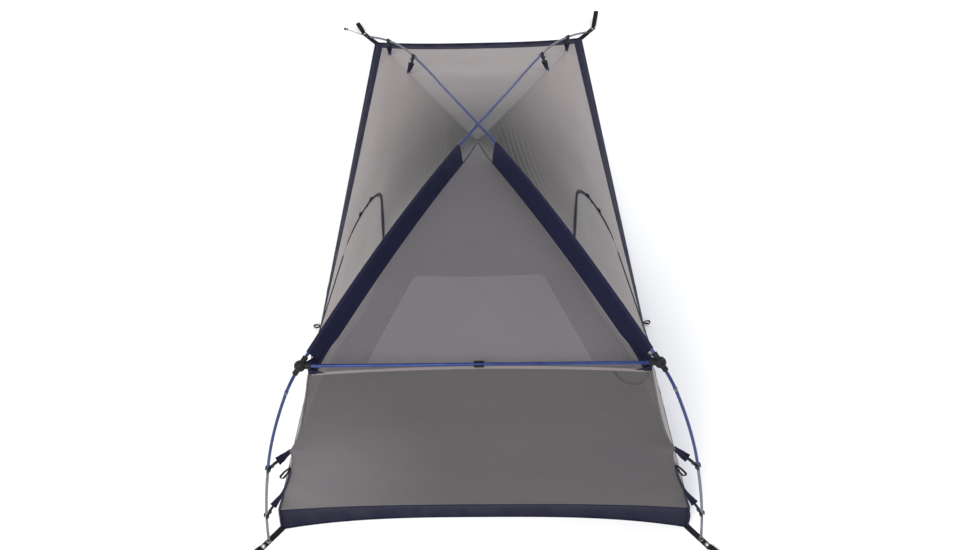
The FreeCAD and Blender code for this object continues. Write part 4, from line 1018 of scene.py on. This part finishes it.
def build_tabs(end_name, shares, seam_line):
    """Cloth tabs from a seam to the clips on a pole, both sides of the tent."""
    node = f"clip_tabs_{end_name}"
    for side, word in SIDES:
        for level, share in shares.items():
            seam_here = seam_line(share)[0]
            if end_name == "front":
                distance = LEG.length - CLIP_AT[level]
                centre, way = LEG.at(distance), LEG.tangent(distance)
            else:
                pole = ARCH[-side]
                centre, way = mirror(pole.at(CLIP_AT[level])), mirror(pole.tangent(CLIP_AT[level]))
            towards = unit(centre - seam_here)
            edge_way = unit(seam_line(share + 0.01)[0] - seam_line(share - 0.01)[0])
            way = way * np.sign(edge_way.dot(way))
            reach = np.linalg.norm(centre - seam_here) - TAIL_REACH
            level_way = unit(np.cross(towards, UP))
            level_way = level_way * np.sign(level_way.dot(edge_way))
            strip = strip_points(seam_here - towards * 0.004, seam_here + towards * reach * TAB_SHARE,
                                 unit(edge_way + 0.7 * level_way), unit(level_way + 0.25 * edge_way),
                                 TAB_ROOT_WIDTH, TAB_END_WIDTH, 0.003, share * 9 + side)
            tab = piece(f"tab_{end_name}_{level}_{word}_cloth", strip, "navy", side, node=node, depth=TAB_THICK)
            node = None
            points = on_side(strip, side)
            face = unit(np.cross(points[3, -1] - points[3, 0], points[5, 3] - points[2, 3]))
            box = [stitches(f"stitch_tab_{end_name}_{level}_{word}_{k}", points[row][1:-1], face * sign,
                            pitch=0.0022, length=0.0018, lift=0.0011)
                   for k, (row, sign) in enumerate(((2, 1), (4, 1), (2, -1), (4, -1)))]
            sheet(tab)
            # black webbing loop that holds the clip's tail
            t = np.linspace(KEEPER_FROM, KEEPER_TO, 9)[:, None]
            line = seam_here + towards * reach * t - UP * 0.004 * (KEEPER_TO - t)
            wide, _ = along_line(line, np.cross(unit(way), towards))
            swept(f"tab_{end_name}_keeper_{level}_{word}", on_side(line, side), on_side(wide, side),
                  np.linspace(0.016, 0.0185, 9), KEEPER_THICK, "webbing")


build_tabs("front", {"low": 0.17, "high": 0.50}, front_edge)
build_tabs("rear", {"low": 0.13, "high": 0.36}, ridge_edge)


# ---- webbing loops
def leaf_loop(name, side, root, out_way, open_way, reach, gap, width, node=None):
    """Webbing loop seen from its edge: out, round and back, pinched at its root."""
    root, out_way, open_way = (on_side(v, side) for v in (root, unit(out_way), unit(open_way)))
    path = [(0.0, 0.12), (0.30, 0.42), (0.55, 0.50)]
    tip = [(1 - 0.5 * gap / reach + 0.5 * gap / reach * math.sin(a), 0.5 * math.cos(a))
           for a in np.linspace(0, math.pi, 15)]
    profile = path + tip + [(x, -y) for x, y in path[::-1]]
    line = curve_through([root + out_way * reach * x + open_way * gap * y for x, y in profile], 60)
    return swept(name, line, np.cross(out_way, open_way), width, 0.0014, "webbing", node)


for side, word in SIDES:
    seam_here = front_edge(0.36)[0]
    out_way = unit(LEG.at(LEG.length - (CLIP_AT["low"] + CLIP_AT["high"]) / 2) - seam_here)
    edge_way = unit(front_edge(0.37)[0] - front_edge(0.35)[0])
    leaf_loop(f"guy_loop_{word}", side, seam_here, out_way, np.cross(out_way, edge_way) + 0.25 * edge_way,
              0.040, 0.013, 0.011, "guy_loops" if side > 0 else None)
    leaf_loop(f"side_loop_{word}", side, floor_side(0.345)[0] + [0.001, 0, 0.010], point(1, 0, -0.06),
              point(0, 1, 0), 0.024, 0.012, 0.012, "stake_loops" if side > 0 else None)

# ---- collars at the elbows
COLLAR_AT = 0.100
COLLAR_PROFILE = ((-0.0050, 0.00455), (-0.0050, 0.0050), (-0.0042, 0.0054), (0.0042, 0.0054),
                  (0.0050, 0.0050), (0.0050, 0.00455))
collar_way = LEG.tangent(COLLAR_AT)
first_way = unit(np.cross(collar_way, UP))
second_way = np.cross(collar_way, first_way)
collar = np.array([[LEG.at(COLLAR_AT + step) + radius * (first_way * math.cos(a) + second_way * math.sin(a))
                    for step, radius in COLLAR_PROFILE] for a in np.linspace(0, 2 * math.pi, 29)])
for side, word in SIDES:
    welded(piece(f"elbow_collar_{word}", collar, "ferrule", side, wrap=True), 1e-6)

# ---- corner straps
STRAP_WIDTH, STRAP_DEPTH, GROMMET_PITCH = 0.020, 0.0016, 0.026
# how far each corner's stake loop leans from its strap, and its reach
STAKE_LOOPS = {"front_right": (point(0, 0, 0.30), 0.040), "front_left": (point(0, 0, 0.30), 0.040),
               "rear_right": (point(-0.50, 0.28, 0.42), 0.076), "rear_left": (point(0.10, 0.20, 0.30), 0.052)}
for side, word in SIDES:
    for end_name, foot, tip in (("front", FLOOR_FRONT, TIP_FRONT), ("rear", FLOOR_REAR, TIP_REAR)):
        way, foot_here = on_side(unit(tip - foot), side), on_side(foot, side)
        first = np.linalg.norm(tip - foot)
        long = first + GROMMET_PITCH + STRAP_WIDTH / 2 + 0.003
        wide = np.cross(UP, way)

        def rise_at(distance):
            return 0.0045 * np.clip(1 - (distance + 0.012) / 0.03, 0, 1) ** 2

        distances = np.linspace(-0.012, long, 60)[:, None]
        line = foot_here + way * distances + UP * (0.0009 + rise_at(distances))
        swept(f"strap_{end_name}_{word}", line, wide, STRAP_WIDTH, STRAP_DEPTH, "webbing",
              f"corner_straps_{end_name}" if side > 0 else None, rounding=3,
              holes=[foot_here + way * d for d in (first, first + GROMMET_PITCH)])
        for k, place in enumerate((0.006, 0.010, 0.026)):
            row = foot_here + way * place + wide * np.linspace(-0.008, 0.008, 9)[:, None]
            stitches(f"bartack_{end_name}_{word}_{k}", row + UP * (0.0018 + rise_at(place)), UP, "thread_black",
                     pitch=0.0014, length=0.0016, lift=0.0003, radius=0.0004)
        lean, reach = STAKE_LOOPS[f"{end_name}_{word}"]
        rise = unit(way + lean)
        leaf_loop(f"stake_loop_{end_name}_{word}", 1, foot_here + way * (long - 0.006) + UP * 0.0085, rise,
                  np.cross(rise, wide), reach, 0.012, 0.018)

# ---- crossbar strap
bar_low, bar_high = roof_front(0)[0] + [0, -0.0012, -0.008], point(0, HUB[1] + 0.001, HUB[2] - 0.0205)
bar_line = curve_through([bar_low, (bar_low + bar_high) / 2 + [0, 0.0015, 0], bar_high], 14)
swept("crossbar_strap_webbing", bar_line, point(1, 0, 0), 0.013, 0.0020, "webbing", "crossbar_strap")

# ---- gear loft and corner pocket
LOFT_FRONT, LOFT_REAR = point(0.300, -0.759, 0.8049), point(0.178, -0.499, 0.8049)
loft_across, loft_rows = np.linspace(-1, 1, 57), np.linspace(0, 1, 33)
loft = spanned(line_between(LOFT_FRONT, LOFT_REAR, loft_rows), loft_across)
loft[..., 2] -= 0.014 * dome(33, 57) ** 0.7
loft[..., 1] += 0.006 * (1 - loft_across ** 2) * (1 - loft_rows[:, None] * 2)
loft = rumpled(loft, 0.003, 9.0, 71.0)
loft_cloth = piece("gear_loft_cloth", loft, "mesh_loft", node="gear_loft")
loft_hems = [binding(f"loft_hem_{k}", edge, UP, 0.009, "mesh_loft", 0.0014)
             for k, edge in enumerate((loft[0], loft[-1], loft[:, 0], loft[:, -1]))]
sheet(loft_cloth)

POCKET_INNER, POCKET_OUTER, POCKET_TOP, POCKET_DROP, POCKET_BEHIND = 0.78, 0.975, 0.995, 0.075, 0.0035


def front_at(across, height):
    """Points of the front wall by share of its half width and of its height."""
    last_row, last_column = front_grid.shape[0] - 1, front_grid.shape[1] - 1
    row, column = height * last_row, (across + 1) / 2 * last_column
    i, j = np.minimum(row.astype(int), last_row - 1), np.minimum(column.astype(int), last_column - 1)
    v, u = (row - i)[..., None], (column - j)[..., None]
    return ((front_grid[i, j] * (1 - u) + front_grid[i, j + 1] * u) * (1 - v)
            + (front_grid[i + 1, j] * (1 - u) + front_grid[i + 1, j + 1] * u) * v)


pocket_across, pocket_down = np.meshgrid(np.linspace(0, 1, 21), np.linspace(0.02, 1, 12))
pocket_depth = POCKET_DROP * (1 - np.abs(2 * pocket_across - 1) ** 2.6) ** 0.6
pocket = front_at(POCKET_INNER + (POCKET_OUTER - POCKET_INNER) * pocket_across,
                  POCKET_TOP - pocket_depth * pocket_down)
pocket[..., 1] += POCKET_BEHIND
pocket_cloth = piece("corner_pocket_cloth", pocket, "mesh_front")
pocket_rim = binding("corner_pocket_rim", pocket[-1] - [0, 2 * POCKET_BEHIND, 0], point(0, -1, 0.3), 0.0025,
                     "mesh_front", 0.0012)
sheet(pocket_cloth)

# ---- zip coils and hinge tapes
COIL_RADIUS, COIL_HEIGHT, TOOTH_PITCH, ZIP_TRIM = 0.0011, 0.0024, 0.0026, math.radians(18)


def coil(name, chain, side, body):
    """Toothed coil along a chain of the door's plane."""
    chain = resampled(chain, TOOTH_PITCH / 2)
    line = in_door(chain, np.full(len(chain), COIL_HEIGHT))
    way = tangents(line)
    across = unit(np.cross(np.broadcast_to(DOOR_NORMAL, way.shape), way))
    size = COIL_RADIUS * (0.86 + 0.28 * (np.arange(len(line)) % 2))
    points = np.stack([line + size[:, None] * (across * math.cos(a) + DOOR_NORMAL * math.sin(a))
                       for a in np.linspace(0, 2 * math.pi, 7)[:-1]], axis=1)
    piece(name, points, "coil", side, body, wrap=True)


HINGE_PROFILE = ((-0.009, 0.0008), (-0.0045, 0.0015), (0.0, 0.0018), (0.0045, 0.0015), (0.009, 0.0008))
hinge = np.stack([np.linspace(DOOR_FRONT_X + DOOR_CORNER, 0.0, 60), np.full(60, HINGE_Y)], axis=1)
hinge_tape = np.array([in_door(hinge + [0, v], np.full(60, h)) for v, h in HINGE_PROFILE])
for side, word in SIDES:
    coil(f"zip_coil_wall_{word}", door_line(SEAM_GAP - 0.0002, False, ZIP_TRIM), side, "tent")
    coil(f"zip_coil_door_{word}", door_line(0.0, False, ZIP_TRIM), side, f"door_{word}")
    flap = grid_object(f"hinge_tape_{word}", on_side(hinge_tape, side), "navy", flip=side > 0)
    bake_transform(flap)
    sheet(flap)


# ---- floor and light
def area_light(name, place, towards, size, power, colour=(1, 1, 1)):
    data = bpy.data.lights.new(name, "AREA")
    data.shape, data.size, data.energy, data.color = "SQUARE", size, power, colour
    made = bpy.data.objects.new(name, data)
    made.location = place
    made.rotation_mode = "QUATERNION"
    made.rotation_quaternion = (Vector(towards) - Vector(place)).to_track_quat("-Z", "Y")
    bpy.context.scene.collection.objects.link(made)


ground = Nodes("studio_floor")
ground_noise = ground.noise(ground.where("Object"), 1.4, 2)
ground.finish(ground.ramp(ground_noise, [(0.3, (0.90, 0.90, 0.90)), (0.7, (0.93, 0.93, 0.93))]),
              ground.between(ground_noise, 0.75, 0.85), Specular_IOR_Level=0.1)
MATERIALS["ground"] = ground.material
STUDIO_REACH, STUDIO_DROP = 40.0, -0.0005
studio = new_object("studio_floor", [(x * STUDIO_REACH, y * STUDIO_REACH, STUDIO_DROP)
                                     for x, y in ((-1, -1), (1, -1), (1, 1), (-1, 1))],
                    [[0, 1, 2, 3]], "ground", smooth=False)
world = bpy.data.worlds.new("studio")
world.use_nodes = True
world.node_tree.nodes["Background"].inputs["Color"].default_value = (0.93, 0.95, 1.0, 1)
world.node_tree.nodes["Background"].inputs["Strength"].default_value = 0.80
bpy.context.scene.world = world
bpy.context.scene.view_settings.view_transform = "Standard"
area_light("key", (-1.8, -2.6, 4.6), (0, -0.1, 0.3), 3.2, 210.0, (1.0, 0.98, 0.95))
area_light("fill", (3.4, 1.6, 3.6), (0, 0, 0.4), 3.0, 90.0, (0.93, 0.96, 1.0))
